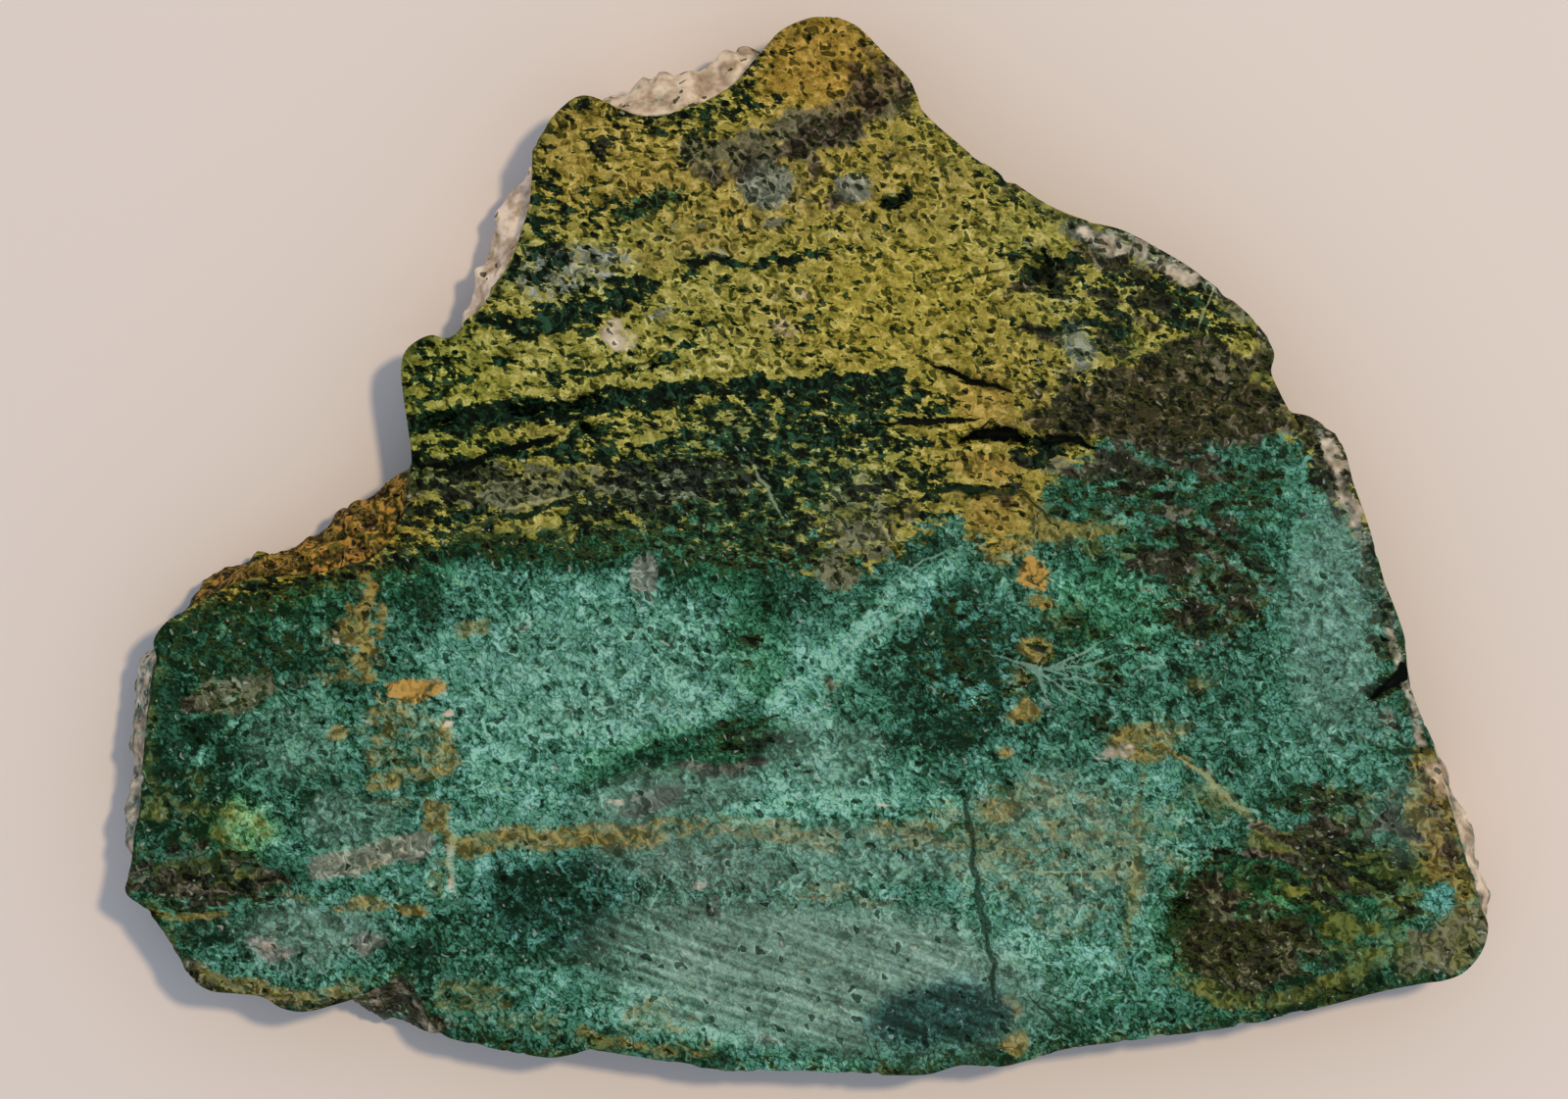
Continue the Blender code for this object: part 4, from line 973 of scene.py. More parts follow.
ovals("olive", [
    (-37.6, -18.4, 2.6, 1.6, 0.56), (-41.5, -17, 2.5, 2.5, 0.5), (-39, -21.5, 5.5, 1.6, -5, 0.6),
    (30.5, -19.6, 2.2, 1.1, -20, 0.9), (30.5, -22, 3, 2, 0.3), (37, -21.5, 5, 1.6, 0.7), (38, -24, 4, 3, 0.5),
    (37, -27, 3, 1, 0.75), (42.5, -26, 2.5, 2.5, 0.55), (36, -17.5, 4, 2, 0.5), (26, -17, 3, 1.5, 0.5),
    (-22, -29.5, 3, 1.5, 0.6), (-10, -31, 3, 1.2, 0.5), (18, 0, 4, 1.2, -8, 0.6), (17, -5, 3, 1.5, 0.4),
    (24, -18, 3, 1.5, 0.45), (-20, -31.5, 4, 1, 0.5), (34, -25, 2.6, 3, 0.25), (-7.5, -32.9, 1.8, 0.8, 0.6),
    (10, 0.5, 2, 1, 0.3), (9, -18.5, 3, 1.2, 0.4), (-16, -19, 5, 0.9, 0.6), (-3, -19, 4, 0.9, 0.6),
])
show_shares("brown", "olive")

# %% Lower zone, green and dark
ovals("emerald", [
    (19.5, -4, 4, 3, 0.75), (-8.5, -13.7, 7.5, 2, 10, 0.95), (30, -22, 3.4, 2.2, 1),
    (34.5, -24.5, 4, 2.6, 0.8), (-17, -0.2, 9, 0.9, 0.9), (-5, -2.2, 4.5, 1.1, -14, 0.9),
    (10, -16, 6, 2, 0.45), (20, -0.5, 3, 1.6, -10, 0.6), (5, -4, 3, 2, 30, 0.5), (3, -11, 2.5, 2.5, 0.5),
    (19, -30, 5, 2, 0.5), (-25.8, -26, 2.3, 2.2, 0.5), (-33, -4.5, 5, 1.6, 0.6), (26, -17, 3, 1.5, 0.5),
    (-7.5, -32.9, 1.8, 0.8, 0.7), (-3.5, -6.5, 2.2, 4.4, 0.95), (7, -14, 3, 1, 0.5), (12, -33.4, 2, 0.7, 0.7),
    (-20, -0.8, 8, 0.9, 0.5),
])
dashes("dark", [
    (0.32, 1, 86, 20, 25.8, -2, 4.8, 3.8, 1.8, -12), (0.36, 1, 87, 14, 35, -21, 5.2, 2.4, 2.8, -22),
    (0.3, 1, 88, 10, -38.5, -22, 5, 2.2, 2.2, -4), (0.3, 1, 89, 14, 24, 3, 8, 2.6, 1.8, -6),
    (0.24, 1, 90, 12, -4.6, -12.6, 2.6, 1.3, 0.8, 0), (0.26, 0.9, 91, 12, 18, -8, 5, 4, 1.6, -14),
])
# The ovals that lie on the flank's pits and wedge, the corner pits and the lower lens pits are painted shade
# in those openings.
ovals("dark", [
    (-38.4, -9.8, 2.4, 1, 8, 0.5), (-35.1, -25.5, 0.35, 0.2, 1), (37.5, -1.5, 0.8, 1.5, 0.9),
    (38, -4.5, 0.8, 1.2, 0.9), (37.8, -7, 1, 1, 0.9), (38, -9.3, 1.6, 0.7, 25, 1),
    (25.6, -22, 1.5, 0.5, 50, 0.95), (27, -20.6, 1.2, 0.4, 30, 0.9), (24.3, -23.4, 0.6, 1.4, -10, 0.95),
    (-4.6, -13.3, 1.6, 0.6, 0.8), (-3.7, -6.3, 0.8, 0.5, 0.8), (-3.7, -7.8, 0.7, 0.4, 0.5),
    (27.8, -27, 3.6, 1.9, 0.72), (25, -25, 1.3, 3.4, 0.68), (10, -7.5, 2.4, 4.6, 0.4),
    (33.5, -18.9, 2, 0.8, 0.8), (-30.5, -30.3, 3, 0.4, -8, 0.8), (14, -7.8, 1.5, 0.6, 0.4),
    (38.5, -13.6, 1, 0.4, 0.6), (26, -3, 4, 3.4, 0.2), (-38, -6, 5, 3, 0.3), (-25.6, 1.7, 2.6, 1.1, 0.85),
    (39.5, -24.1, 1.1, 1, 0.7), (18.2, 11.4, 1.2, 0.7, 0.6), (34.9, -29.4, 2, 0.5, 14, 0.7),
    (-33.3, -1, 1.8, 0.7, 20, 0.5), (-3.2, 28.6, 1, 0.8, 0.5), (24, 3, 8, 2.4, 0.3),
    (33.5, -16.7, 3, 0.6, 0.8), (37, -21.5, 5, 1.2, 0.3), (32, -25, 3, 3, 0.4),
])
show_shares("emerald", "dark")

# %% [markdown]
# ## The lower zone's pale patches
#
# Grey and cream patches are the softest part of the rock. They lie in level strips and small ovals.
# The dark pools are kept free of stains, and one small cyan dot near the corner is rubbed clean.

# %% Lower zone, grey, cream and drab
GREY_STRIP = [(-32, -21.2), (-30.4, -20.9), (-28.6, -20.3), (-27, -20.1), (-25.4, -19.9)]
CYAN_DOT = (41.4, -23.4, 1.0, 0.66, 15)
strips("grey", [(0.95, 1.25, GREY_STRIP)])
dashes("grey", [(0.2, 0.9, 95, 16, 22.5, 9.2, 7.5, 2.6, 0.9, 10)])
ovals("grey", [
    (-40, -21, 1, 0.4, 0.6), (-35.4, -26.4, 2.1, 0.6, -8, 1.1), (-29, -26.5, 1.2, 0.6, 1.1),
    (-38.2, -9.2, 2.2, 0.9, 8, 0.6), (-10.7, -1.9, 1.1, 1, 1.3), (-10.6, -3.4, 0.6, 0.3, 0.7),
    (-10.5, -17, 2.6, 0.8, 10, 0.7), (-8, -22.5, 6, 2, 0.42), (-3, -32.5, 1.5, 0.5, 0.75),
    (20, -13.8, 1.5, 0.7, 0.6), (19.5, -17.3, 1.2, 0.6, 0.5), (-11.5, -10.8, 6, 1.2, 5, 0.4),
    (1, -13.8, 2, 1.6, 0.42), (1, -28, 13, 4, -6, 0.25), (-33, -25, 4, 1.4, 0.3), (-9, -17.6, 4, 1.2, 5, 0.4),
    (37.5, -12, 1.6, 1.4, 0.5), (1, -22, 3, 1, 0.35), (-14, -21, 2, 1, 0.3), (18, 5.6, 3, 0.6, 0.4),
    (16, -16, 4, 1, 0.35),
])
strips("cream", [
    (0.22, 0.8, [(-23.4, -19.9), (-23.3, -21.5), (-23, -22.8)]), (0.6, 0.36, GREY_STRIP[1:]),
    (0.3, 0.4, [(-36.8, -26.2), (-34, -26.7)]),
])
ovals("cream", [
    (-30.8, -6.3, 0.45, 0.4, 0.9), (-24, -11, 0.5, 0.3, 0.9), (-23.8, -11.8, 0.5, 0.3, 0.9),
    (20.5, -13.5, 1.5, 0.7, 0.65), (4.9, -16.9, 0.5, 0.3, 0.8), (-12.7, -17, 0.8, 0.3, 10, 0.7),
    (-7.3, -22.2, 0.7, 0.4, 0.5), (-12.8, -6.2, 0.5, 0.35, 0.5), (-14.5, -9.9, 0.5, 0.3, 0.5),
])
strips("drab", [
    (0.9, 0.6, [(-39.4, -28.5), (-38, -29), (-36, -29.2), (-34.5, -29.7), (-32.5, -29.8), (-30.5, -29.6)]),
    (1.5, 1, [(39.8, -27), (41.8, -26.8), (43.4, -25)]),
])
ovals("drab", [(-38.2, -9.6, 3, 1.4, 8, 0.9), (-0.7, 22.8, 1.2, 1.3, 0.6)])
erase(["brown", "ochre"], [
    (9, -9, 4, 5.5, 0.75), (-17, -23.3, 5.3, 3.1, 0.75), (8.5, -31, 4.6, 2.1, 8, 0.85), (-37, -10, 5, 6, 0.4),
])
erase(MINERALS, [(*CYAN_DOT, 1)])
shades([(*CYAN_DOT, 0.62)])
show_shares("grey", "cream", "drab")

# %% [markdown]
# ## Grain directions and tints
#
# The grain isn't the same everywhere: it is streaked along level bands in some parts, a pale haze
# softens others, and fine saw ripples cross the lower middle. The tint shifts whole areas a little,
# such as the browner knob or the greyer striped part. It multiplies the finished colour.

# %% Streaks, haze and ripples
ovals("streak", [
    (24, 2.5, 10, 3.4, 1), (37, -21.5, 6, 3, 1), (-6, 8, 22, 4, 3, 0.6), (-38, -21.5, 6, 3, -5, 0.8),
    (34.5, -4, 4, 9, 0.5), (-15, -19, 12, 1.6, 2, 0.6), (20, -17, 8, 3, 0.5),
])
ovals("haze", [
    (1, -28.3, 14, 4.6, -6, 0.85), (-33, -25.6, 4.4, 1.9, 0.45), (34.5, -5, 3, 8, 0.45),
    (0, -20.5, 13, 2, 0.5), (17, -20, 5, 5, 0.35), (-9, -16.5, 6, 1.6, 8, 0.5), (-30, -18, 3, 2, 0.4),
    (1, -14, 4, 2.4, 0.4), (-14, -9, 9, 4, 0.15), (39, -18, 2, 3, 0.3), (-34, -13, 3, 2.5, 0.25),
    (-2.9, 23.4, 1.8, 1.7, 0.4), (2.9, 23.7, 1.5, 1.2, 0.3), (17.7, 13.2, 1, 1.6, 0.25),
])
erase(["haze"], [(8.5, -31, 4.8, 2.2, 8, 0.85)])
ovals("ripple", [(-1, -28.5, 15, 4.4, -8, 1), (-12, -26, 5, 2.5, -10, 0.7)])
show_shares("streak", "haze", "ripple")

# %% Tints
tints([
    (-1, 27.5, 14, 6.5, 10, (1.03, 0.95, 0.86)), (-42.6, -24.6, 1.6, 2.4, (0.86, 0.92, 0.84)),
    (35.8, -29.3, 3, 1.2, 14, (0.86, 0.9, 0.78)), (-26.4, 7.8, 2.2, 1.4, (0.84, 0.88, 0.85)),
    (-14, 12, 12, 1.6, 3, (1.05, 1.07, 1.1)), (5, 16, 9, 5, (1.06, 0.97, 0.93)),
    (10.5, 9.6, 3, 5, (1.38, 1.22, 1.1)), (6, 15.5, 6, 4.5, (1.1, 1, 0.8)), (-14, 26, 6, 5, (1.05, 0.9, 0.8)),
    (1.5, 31.5, 5.6, 4.4, (1.12, 0.82, 0.62)), (12, 7, 5, 8, (1, 0.9, 0.8)),
    (8.7, 23, 3.4, 2.4, (0.97, 0.88, 0.84)), (-38, -10, 8, 8, (0.94, 0.97, 0.92)),
    (-3, 5, 9, 4, (0.9, 1, 1.12)), (-24, 9, 4, 6, (0.88, 0.95, 0.8)), (-33, -1, 8, 3, 20, (1.08, 0.89, 0.66)),
    (23, 9, 8, 3, (1.02, 0.93, 0.86)), (-34, -25.5, 6, 2.5, (1.12, 1, 1.02)),
    (1, -28, 14, 5, -6, (1.1, 1, 1)), (19.5, -4.5, 5, 4, (0.96, 1.03, 0.94)),
    (-15.5, 17.5, 4, 2, 10, (0.95, 1, 1.25)), (-2.9, 23.4, 1.8, 1.7, (1, 0.9, 0.9)),
    (2.9, 23.7, 1.5, 1.2, (1.05, 0.88, 0.85)), (28, -25.5, 5, 4.5, (0.96, 0.96, 0.7)),
    (-37.6, -18.4, 2.8, 1.8, (1.24, 1.16, 0.72)), (-28.7, -20.4, 3.8, 1.1, 14, (1.28, 1.24, 1.12)),
    (37.5, -24, 5, 4.5, (0.78, 0.86, 0.74)), (41.6, -19, 1.4, 5, 8, (1.04, 0.92, 0.86)),
    (*CYAN_DOT, (0.85, 1.02, 1.12)), (-8, -22.5, 7, 2.4, (1.1, 0.97, 1)),
    (8.5, -31, 4.6, 2.1, 8, (0.85, 0.95, 1.25)), (10, -8, 3, 5.5, (0.84, 0.94, 1.04)),
    (-17, -23.3, 5.3, 3.1, (0.95, 0.95, 1.1)), (34.5, -5, 3.4, 9, (1, 0.98, 1.02)),
    (42.5, -26, 2.5, 2.5, (1.1, 1.05, 1.1)), (24, 2, 9, 3.4, (0.88, 0.98, 0.94)),
    (10.8, 8.6, 1.8, 2.2, (1.35, 1.2, 1.1)), (-1, 24.5, 9, 4, (1.03, 0.9, 0.85)),
])
print("tinted points:", int((np.abs(tone - 1).max(1) > 0.05).sum()))

# %% [markdown]
# ## The crusts and the bare rim
#
# The natural skins have colours of their own: white quartz at the top left, a tan crust below it, a
# brown ledge, and thin grey rinds on both flanks. Their tints also brighten them, partly as painted
# light on the slab's sides. They follow the rim's crusts, so their weights come from the shape's own
# shares. Their borders wander by a few steps, and lower down each skin is worn through in places.
# Bare broken rock is the same stone, darker and iron-stained.

# %% Crust colours
CRUST_PAINT = {
    "quartz_crust": {"cream": 1.0, "grey": 0.3, "brown": 0.3},
    "tan_crust": {"cream": 0.92, "ochre": 0.5, "orange": 0.8, "grey": 0.3, "brown": 0.1},
    "left_rind": {"grey": 0.9, "cream": 0.64, "brown": 0.25},
    "right_rind": {"cream": 0.8, "grey": 0.6, "brown": 0.25, "ochre": 0.35},
    "brown_ledge": {"ochre": 1.0, "brown": 0.7, "orange": 0.55, "dark": 0.4},
    "notch_break": {"brown": 0.85, "cream": 0.5, "ochre": 0.4, "dark": 0.35},
}
# The crusts' tints are partly their own paler colour and partly painted light that brightens the slab's
# sides.
CRUST_TINTS_AND_LIGHT = {"brown_ledge": (1.04, 0.88, 0.64), "tan_crust": (1.36, 1.28, 1.28),
               "quartz_crust": (1.24, 1.15, 1.07)}
PALE_CRUST_TINT_AND_LIGHT = (1.24, 1.2, 1.17)  # for the crusts that have no tint of their own
BARE_PAINT = {"brown": 0.5, "drab": 0.3}
BARE_DARKENING = 0.12
RAGGED_BORDER = 7  # steps of the rim by which a crust's border wanders to each side
RAGGED = {"size": 2.4, "seed": 95}
WEAR = {"size": 3.2, "seed": 97}
WEAR_FROM, WEAR_OVER = 0.4, 0.3  # share of the thickness where wear starts, and over which it sets in
WEAR_CONTRAST, WEAR_BIAS = 3, 0.1
CRUST_FADE, BARE_FADE = 0.05, 0.1  # share of the thickness over which crust and bare rock set in
print("crusts with a tint of their own:", list(CRUST_TINTS_AND_LIGHT))

# %% Crust paint
rim_rows = slice(rim_first, back_first)
row_depths = np.repeat(RIM_DEPTHS[1:], rim.shape[1])
border_steps = np.rint(RAGGED_BORDER * rough(points[rim_rows], **RAGGED)).astype(int)
ragged_places = (np.tile(np.arange(rim.shape[1]), len(RIM_DEPTHS) - 1) + border_steps) % rim.shape[1]
wear_depth = smoothstep((row_depths - WEAR_FROM) / WEAR_OVER)
worn_through = wear_depth * smoothstep(WEAR_CONTRAST * rough(points[rim_rows], **WEAR) + WEAR_BIAS)
below_edge = smoothstep(row_depths / CRUST_FADE)
crusted = np.zeros(len(points))
for name, minerals in CRUST_PAINT.items():
    skin = np.zeros(len(points))
    skin[rim_rows] = crust_shares[name][ragged_places] * below_edge * (1 - worn_through)
    for mineral in MINERALS:
        paint[mineral] = paint[mineral] * (1 - skin) + minerals.get(mineral, 0) * skin
    # A skin's tint is its colour, partly brightened as painted light.
    skin_tint_and_light = np.array(CRUST_TINTS_AND_LIGHT.get(name, PALE_CRUST_TINT_AND_LIGHT))
    tone = tone * (1 - skin[:, None]) + skin_tint_and_light * skin[:, None]
    crusted = np.maximum(crusted, skin)
bare = np.zeros(len(points))
bare[rim_rows] = smoothstep(row_depths / BARE_FADE)
bare *= 1 - crusted
for mineral, weight in BARE_PAINT.items():
    paint[mineral] = np.maximum(paint[mineral], weight * bare)
paint["light"] = np.clip(paint["light"] - BARE_DARKENING * bare, 0, 1)
print("crusted points:", int((crusted > 0.5).sum()))

# %% [markdown]
# ## Fine lines
#
# Hair-thin pale and green veins cross the face. A vein thinner than a cell can't be painted by
# weights, so each point keeps the signed distance to the nearest vein and its half width, and the
# material draws the line where the distance is less than the width. Each vein is a list of half
# widths, spread evenly along it, and its points.

# %% Veins
PALE_VEINS = [
    ([0.15, 0.26, 0.14, 0.04], [(-23.4, -19.4), (-23.5, -20.8), (-23.3, -22.2), (-22.9, -23.2)]),
    ([0.05, 0.14, 0.2, 0.12], [(24.2, -13.9), (26, -15.1), (27, -16), (28.3, -17.4), (29.6, -17.6)]),
    ([0.05, 0.1, 0.08, 0.02], [(12.5, -21.4), (16, -21.5), (21, -21.6)]),
    ([0.02, 0.09, 0.07, 0.02], [(0.8, -24.2), (4, -24.8), (8, -26)]),
    ([0.05, 0.14, 0.12, 0.05], [(-20, 2.3), (-17.5, 2.9), (-16, 3.1)]),
    ([0.04, 0.14, 0.1, 0.02], [(-3.5, 5.2), (-2.6, 3.6), (-1.8, 2)]),
    ([0.03, 0.1, 0.03], [(25.7, 14), (26, 15.2), (26.5, 16.5)]),
    ([0.04, 0.14, 0.1, 0.03], [(12.4, -7.3), (15.4, -8.2), (18, -8.1), (20.4, -7.2)]),
    ([0.04, 0.12, 0.08, 0.03], [(13.5, -7.6), (16, -9), (18.5, -10.5)]),
    ([0.03, 0.12, 0.03], [(15.4, -8.2), (17.6, -7.4), (19.4, -6.3)]),
    ([0.03, 0.1, 0.03], [(15.6, -8.9), (17.8, -8.9), (20, -9.3)]),
    ([0.03, 0.1, 0.03], [(14.4, -7.9), (15.4, -9.3), (16, -10.6)]),
    ([0.02, 0.1, 0.02], [(21.6, -8.4), (22.8, -8), (24, -7.4)]),
    ([0.02, 0.12, 0.1, 0.02], [(1, -8.6), (3.4, -6.4), (6, -4.8), (8.2, -3.4)]),
    ([0.02, 0.1, 0.02], [(2.4, -6.4), (4.6, -4.2), (6.8, -2.6)]),
    ([0.02, 0.1, 0.02], [(5, -3.2), (7, -1.4), (9, -0.4)]),
]
DARK_VEINS = [
    ([0.12, 0.2, 0.25, 0.3, 0.25, 0.1], [(10.2, -17), (10.8, -19), (11.2, -22), (11.5, -25), (12.2, -28),
                                         (12.4, -29.6)]),
    ([0.04, 0.12, 0.04], [(9, 17.2), (11, 17.6), (12.8, 18.2)]),
    ([0.1, 0.25, 0.2, 0.08], [(8, 3.4), (11, 3.6), (14, 3.5), (15.8, 1.4)]),
    ([0.04, 0.12, 0.12, 0.1, 0.04], [(-23, 1), (-21, 1.4), (-18, 2.2), (-16, 3), (-14, 3.2)]),
    ([0.05, 0.18, 0.05], [(14.3, 14.4), (16, 14), (18.2, 14.3)]),
    ([0.06, 0.16, 0.05], [(38.2, -13.6), (39.2, -13.7), (40.4, -13.7)]),
    ([0.04, 0.1, 0.08, 0.04], [(-15.5, 11), (-13.6, 11.2), (-11.8, 11.8), (-9.4, 12.6)]),
    ([0.04, 0.14, 0.04], [(14.8, -30), (16.2, -31.4), (17.4, -32.2)]),
]
PALE_WOBBLE, DARK_WOBBLE = 0.18, 0.3
pale_gap, pale_half = nearest_line(points[:, :2] + PALE_WOBBLE * fine_wobble, PALE_VEINS)
dark_gap, dark_half = nearest_line(points[:, :2] + DARK_WOBBLE * fine_wobble, DARK_VEINS)
print("veins:", len(PALE_VEINS), "pale,", len(DARK_VEINS), "dark")

# %% [markdown]
# ## Into the mesh
#
# The points move to the frame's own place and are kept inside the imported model's box. The weights
# go in as point attributes, four to a colour layer, where the material reads them by name. Lines
# count only on the sawn face. Tints are halved and distances moved, to stay between 0 and 1.

# %% The finished mesh
SHARP_ANGLE = 38
placed = np.clip((points - [*BOX_MIDDLE, 0]) * MM, slab_low, slab_high)
mesh = bpy.data.meshes.new("dressed_slab")
mesh.from_pydata(placed, [], quads.tolist() + slanted.tolist() + wide.tolist())
mesh.update()
mesh.shade_smooth()
mesh.set_sharp_from_angle(angle=math.radians(SHARP_ANGLE))
slab = bpy.data.objects.new("dressed_slab", mesh)
bpy.context.scene.collection.objects.link(slab)
print("triangles:", sum(len(face.vertices) - 2 for face in mesh.polygons))

# %% Point attributes
TINT_SCALE = 0.5
# How far a point has sunk also sets the painted shade in the pits and crack valleys.
HOLLOW_FULL = 0.6  # mm of sinking from which an opening counts as fully hollow


def layer(name, *columns):
    """Stores up to four numbers for every point as one colour attribute."""
    values = np.ones((len(points), 4), np.float32)
    for k, column in enumerate(columns):
        values[:, k] = column
    mesh.attributes.new(name, "FLOAT_COLOR", "POINT").data.foreach_set("color", values.ravel())


def distance_code(gap):
    """A signed distance up to LINE_REACH, moved into the range from 0 to 1."""
    return 0.5 + 0.5 * np.clip(gap / LINE_REACH, -1, 1)


for name, members in {"minerals_a": ("mustard", "dark", "olive", "brown"),
                      "minerals_b": ("grey", "ochre", "orange", "emerald"),
                      "minerals_c": ("cream", "drab", "light", "streak")}.items():
    layer(name, *[paint[member] for member in members])
layer("tints", *tone.T * TINT_SCALE, paint["haze"])
layer("openings", distance_code(crack_gap), crack_half * is_face,
      np.clip(sunk / HOLLOW_FULL, 0, 1), paint["ripple"])
layer("veins", distance_code(pale_gap), pale_half * is_face, distance_code(dark_gap), dark_half * is_face)
print("attributes:", [item.name for item in mesh.attributes if item.data_type == "FLOAT_COLOR"])

# %% [markdown]
# ## The stone's material
#
# The material mixes eleven minerals, from the teal that is everywhere to the cream on top. Each has
# a weight on the surface, and a noise decides grain by grain where it wins: the mask is an S-curve
# of the weight plus the noise, so a weight of a half covers about half of the grains, with crisp
# edges. A dozen short helpers keep the node tree readable: most of them add one or two nodes.

# %% Node helpers
stone = bpy.data.materials.new("sawn_chrysocolla")
stone.use_nodes = True
tree = stone.node_tree
shader = tree.nodes["Principled BSDF"]


def fill_input(socket, value):
    """Links another node's output to the socket, or sets its value."""
    if isinstance(value, bpy.types.NodeSocket):
        tree.links.new(value, socket)
    elif value is not None:
        socket.default_value = value


def put(kind, *values, **settings):
    """Adds a node, sets its properties and fills its inputs in order, by link or by value."""
    made = tree.nodes.new(kind)
    for name, value in settings.items():
        setattr(made, name, value)
    for socket, value in zip(made.inputs, values):
        fill_input(socket, value)
    return made


def calc(operation, *values):
    """The result of a Math node."""
    return put("ShaderNodeMath", *values, operation=operation).outputs[0]


def lean(first, second, share):
    """A number that moves from the first to the second by a share."""
    return put("ShaderNodeMix", share, None, first, second, data_type="FLOAT", clamp_factor=True).outputs[0]


def blend(share, first, second, kind="MIX"):
    """A colour mix: the share of the second colour laid over the first."""
    made = put("ShaderNodeMix", share, data_type="RGBA", blend_type=kind, clamp_factor=True)
    for socket, value in zip(made.inputs[6:8], (first, second)):
        fill_input(socket, (*value, 1) if isinstance(value, tuple) else value)
    return made.outputs[2]


def ramp(position, *stops):
    """A colour ramp through (position, (red, green, blue)) stops."""
    made = put("ShaderNodeValToRGB", position)
    while len(made.color_ramp.elements) < len(stops):
        made.color_ramp.elements.new(0.5)
    for element, (place, hue) in zip(made.color_ramp.elements, stops):
        element.position = place
        element.color = (*hue, 1)
    return made.outputs[0]


def rise(value, low, high):
    """An S-curve from 0 at `low` to 1 at `high`."""
    return put("ShaderNodeMapRange", value, low, high, 0.0, 1.0, interpolation_type="SMOOTHSTEP").outputs[0]


def folded(value, low, high):
    """An S-curve of a noise's distance from its middle, 0 at `low` and 1 at `high`: lines or their gaps."""
    return rise(calc("ABSOLUTE", calc("SUBTRACT", value, 0.5)), low, high)


def noise(place, scale, detail, roughness, kind="2D"):
    """A noise texture's value and its colour, whose three channels are noises of their own."""
    return put("ShaderNodeTexNoise", place, None, scale, detail, roughness, noise_dimensions=kind).outputs[:2]


def channels(mixed):
    """The three numbers of a colour."""
    return put("ShaderNodeSeparateColor", mixed).outputs


def stored(name):
    """The four numbers of a point attribute."""
    read = put("ShaderNodeAttribute", attribute_name=name)
    return (*channels(read.outputs["Color"]), read.outputs["Alpha"])


mustard, dark, olive, brown = stored("minerals_a")
grey, ochre, orange, emerald = stored("minerals_b")
cream, drab, light, streak = stored("minerals_c")
tint_red, tint_green, tint_blue, haze = stored("tints")
crack_code, crack_wide, hollow, ripple = stored("openings")
pale_code, pale_wide, dark_code, dark_wide = stored("veins")
print("attributes read:", sum(node.type == "ATTRIBUTE" for node in tree.nodes))

# %% [markdown]
# ## Grain
#
# Every pattern reads the Object coordinates in millimetres. A flat noise is quicker than a solid
# one, so all but the coarse blots are flat patterns, on a plane tilted against every side of the
# slab, so that none is drawn out into lines on any side. Mapping nodes stretch the bedding and the
# saw ripples. The blots' colours push the fine grain's coordinates about, so it swirls like felt.

# %% Grain patterns
TILT = (math.radians(35), math.radians(30), 0)
SWIRL, POCK_SWIRL = 3.0, 1.3  # mm by which the blots push the fine grain and the specks about
BLOTS_PER_MM, FINE_PER_MM, GRIT_PER_MM, SPECKS_PER_MM = 0.8, 1.6, 2.3, 1.8
BEDDING, RIPPLES = (5, 1.75, 1.0), (-17, 2.6, 0.2)  # turn in degrees, cells per mm across and along
metres = put("ShaderNodeTexCoord").outputs["Object"]
space = put("ShaderNodeMapping", metres, None, None, (1 / MM,) * 3).outputs[0]
tilted = put("ShaderNodeMapping", space, None, TILT).outputs[0]


def stretched(turn, across, along):
    """The millimetre coordinates turned by `turn` degrees, scaled along and across that, and tilted."""
    turned = put("ShaderNodeMapping", space, None, (0, 0, math.radians(-turn))).outputs[0]
    return put("ShaderNodeMapping", turned, None, TILT, (along, across, 1.0)).outputs[0]


def pushed(distance):
    """The tilted coordinates plus `distance` times the blots' colour."""
    push = put("ShaderNodeVectorMath", blot_colour, (distance,) * 3, tilted, operation="MULTIPLY_ADD")
    return push.outputs[0]


blot, blot_colour = noise(space, BLOTS_PER_MM, 2.0, 0.62, "3D")
bed, bed_colour = noise(stretched(*BEDDING), 1.0, 3.0, 0.72)
fine, fine_colour = noise(pushed(SWIRL), FINE_PER_MM, 2.0, 0.62)
blots, beds, fines = channels(blot_colour), channels(bed_colour), channels(fine_colour)
ripple_grain = noise(stretched(*RIPPLES), 1.0, 1.0, 0.5)[0]
grit = noise(tilted, GRIT_PER_MM, 1.0, 0.6)[0]
specks = put("ShaderNodeTexVoronoi", pushed(POCK_SWIRL), None, SPECKS_PER_MM, voronoi_dimensions="2D")
speck_gap, speck_parts = specks.outputs["Distance"], channels(specks.outputs["Color"])
print("texture nodes:", sum(node.type.startswith("TEX") for node in tree.nodes))

# %% [markdown]
# ## From patterns to grain
#
# The teal's grain is the fine noise with some bedding and blots in it, more bedding where the stone
# is streaked, and ripples where the saw left them. Two patterns are folded noises, which are lines
# where a noise crosses its middle: `worms` darkens thin wandering lines in the teal, and `strands`
# brightens thin level ones in the mustard. `roundness` makes dark spots in the mustard pit-shaped.

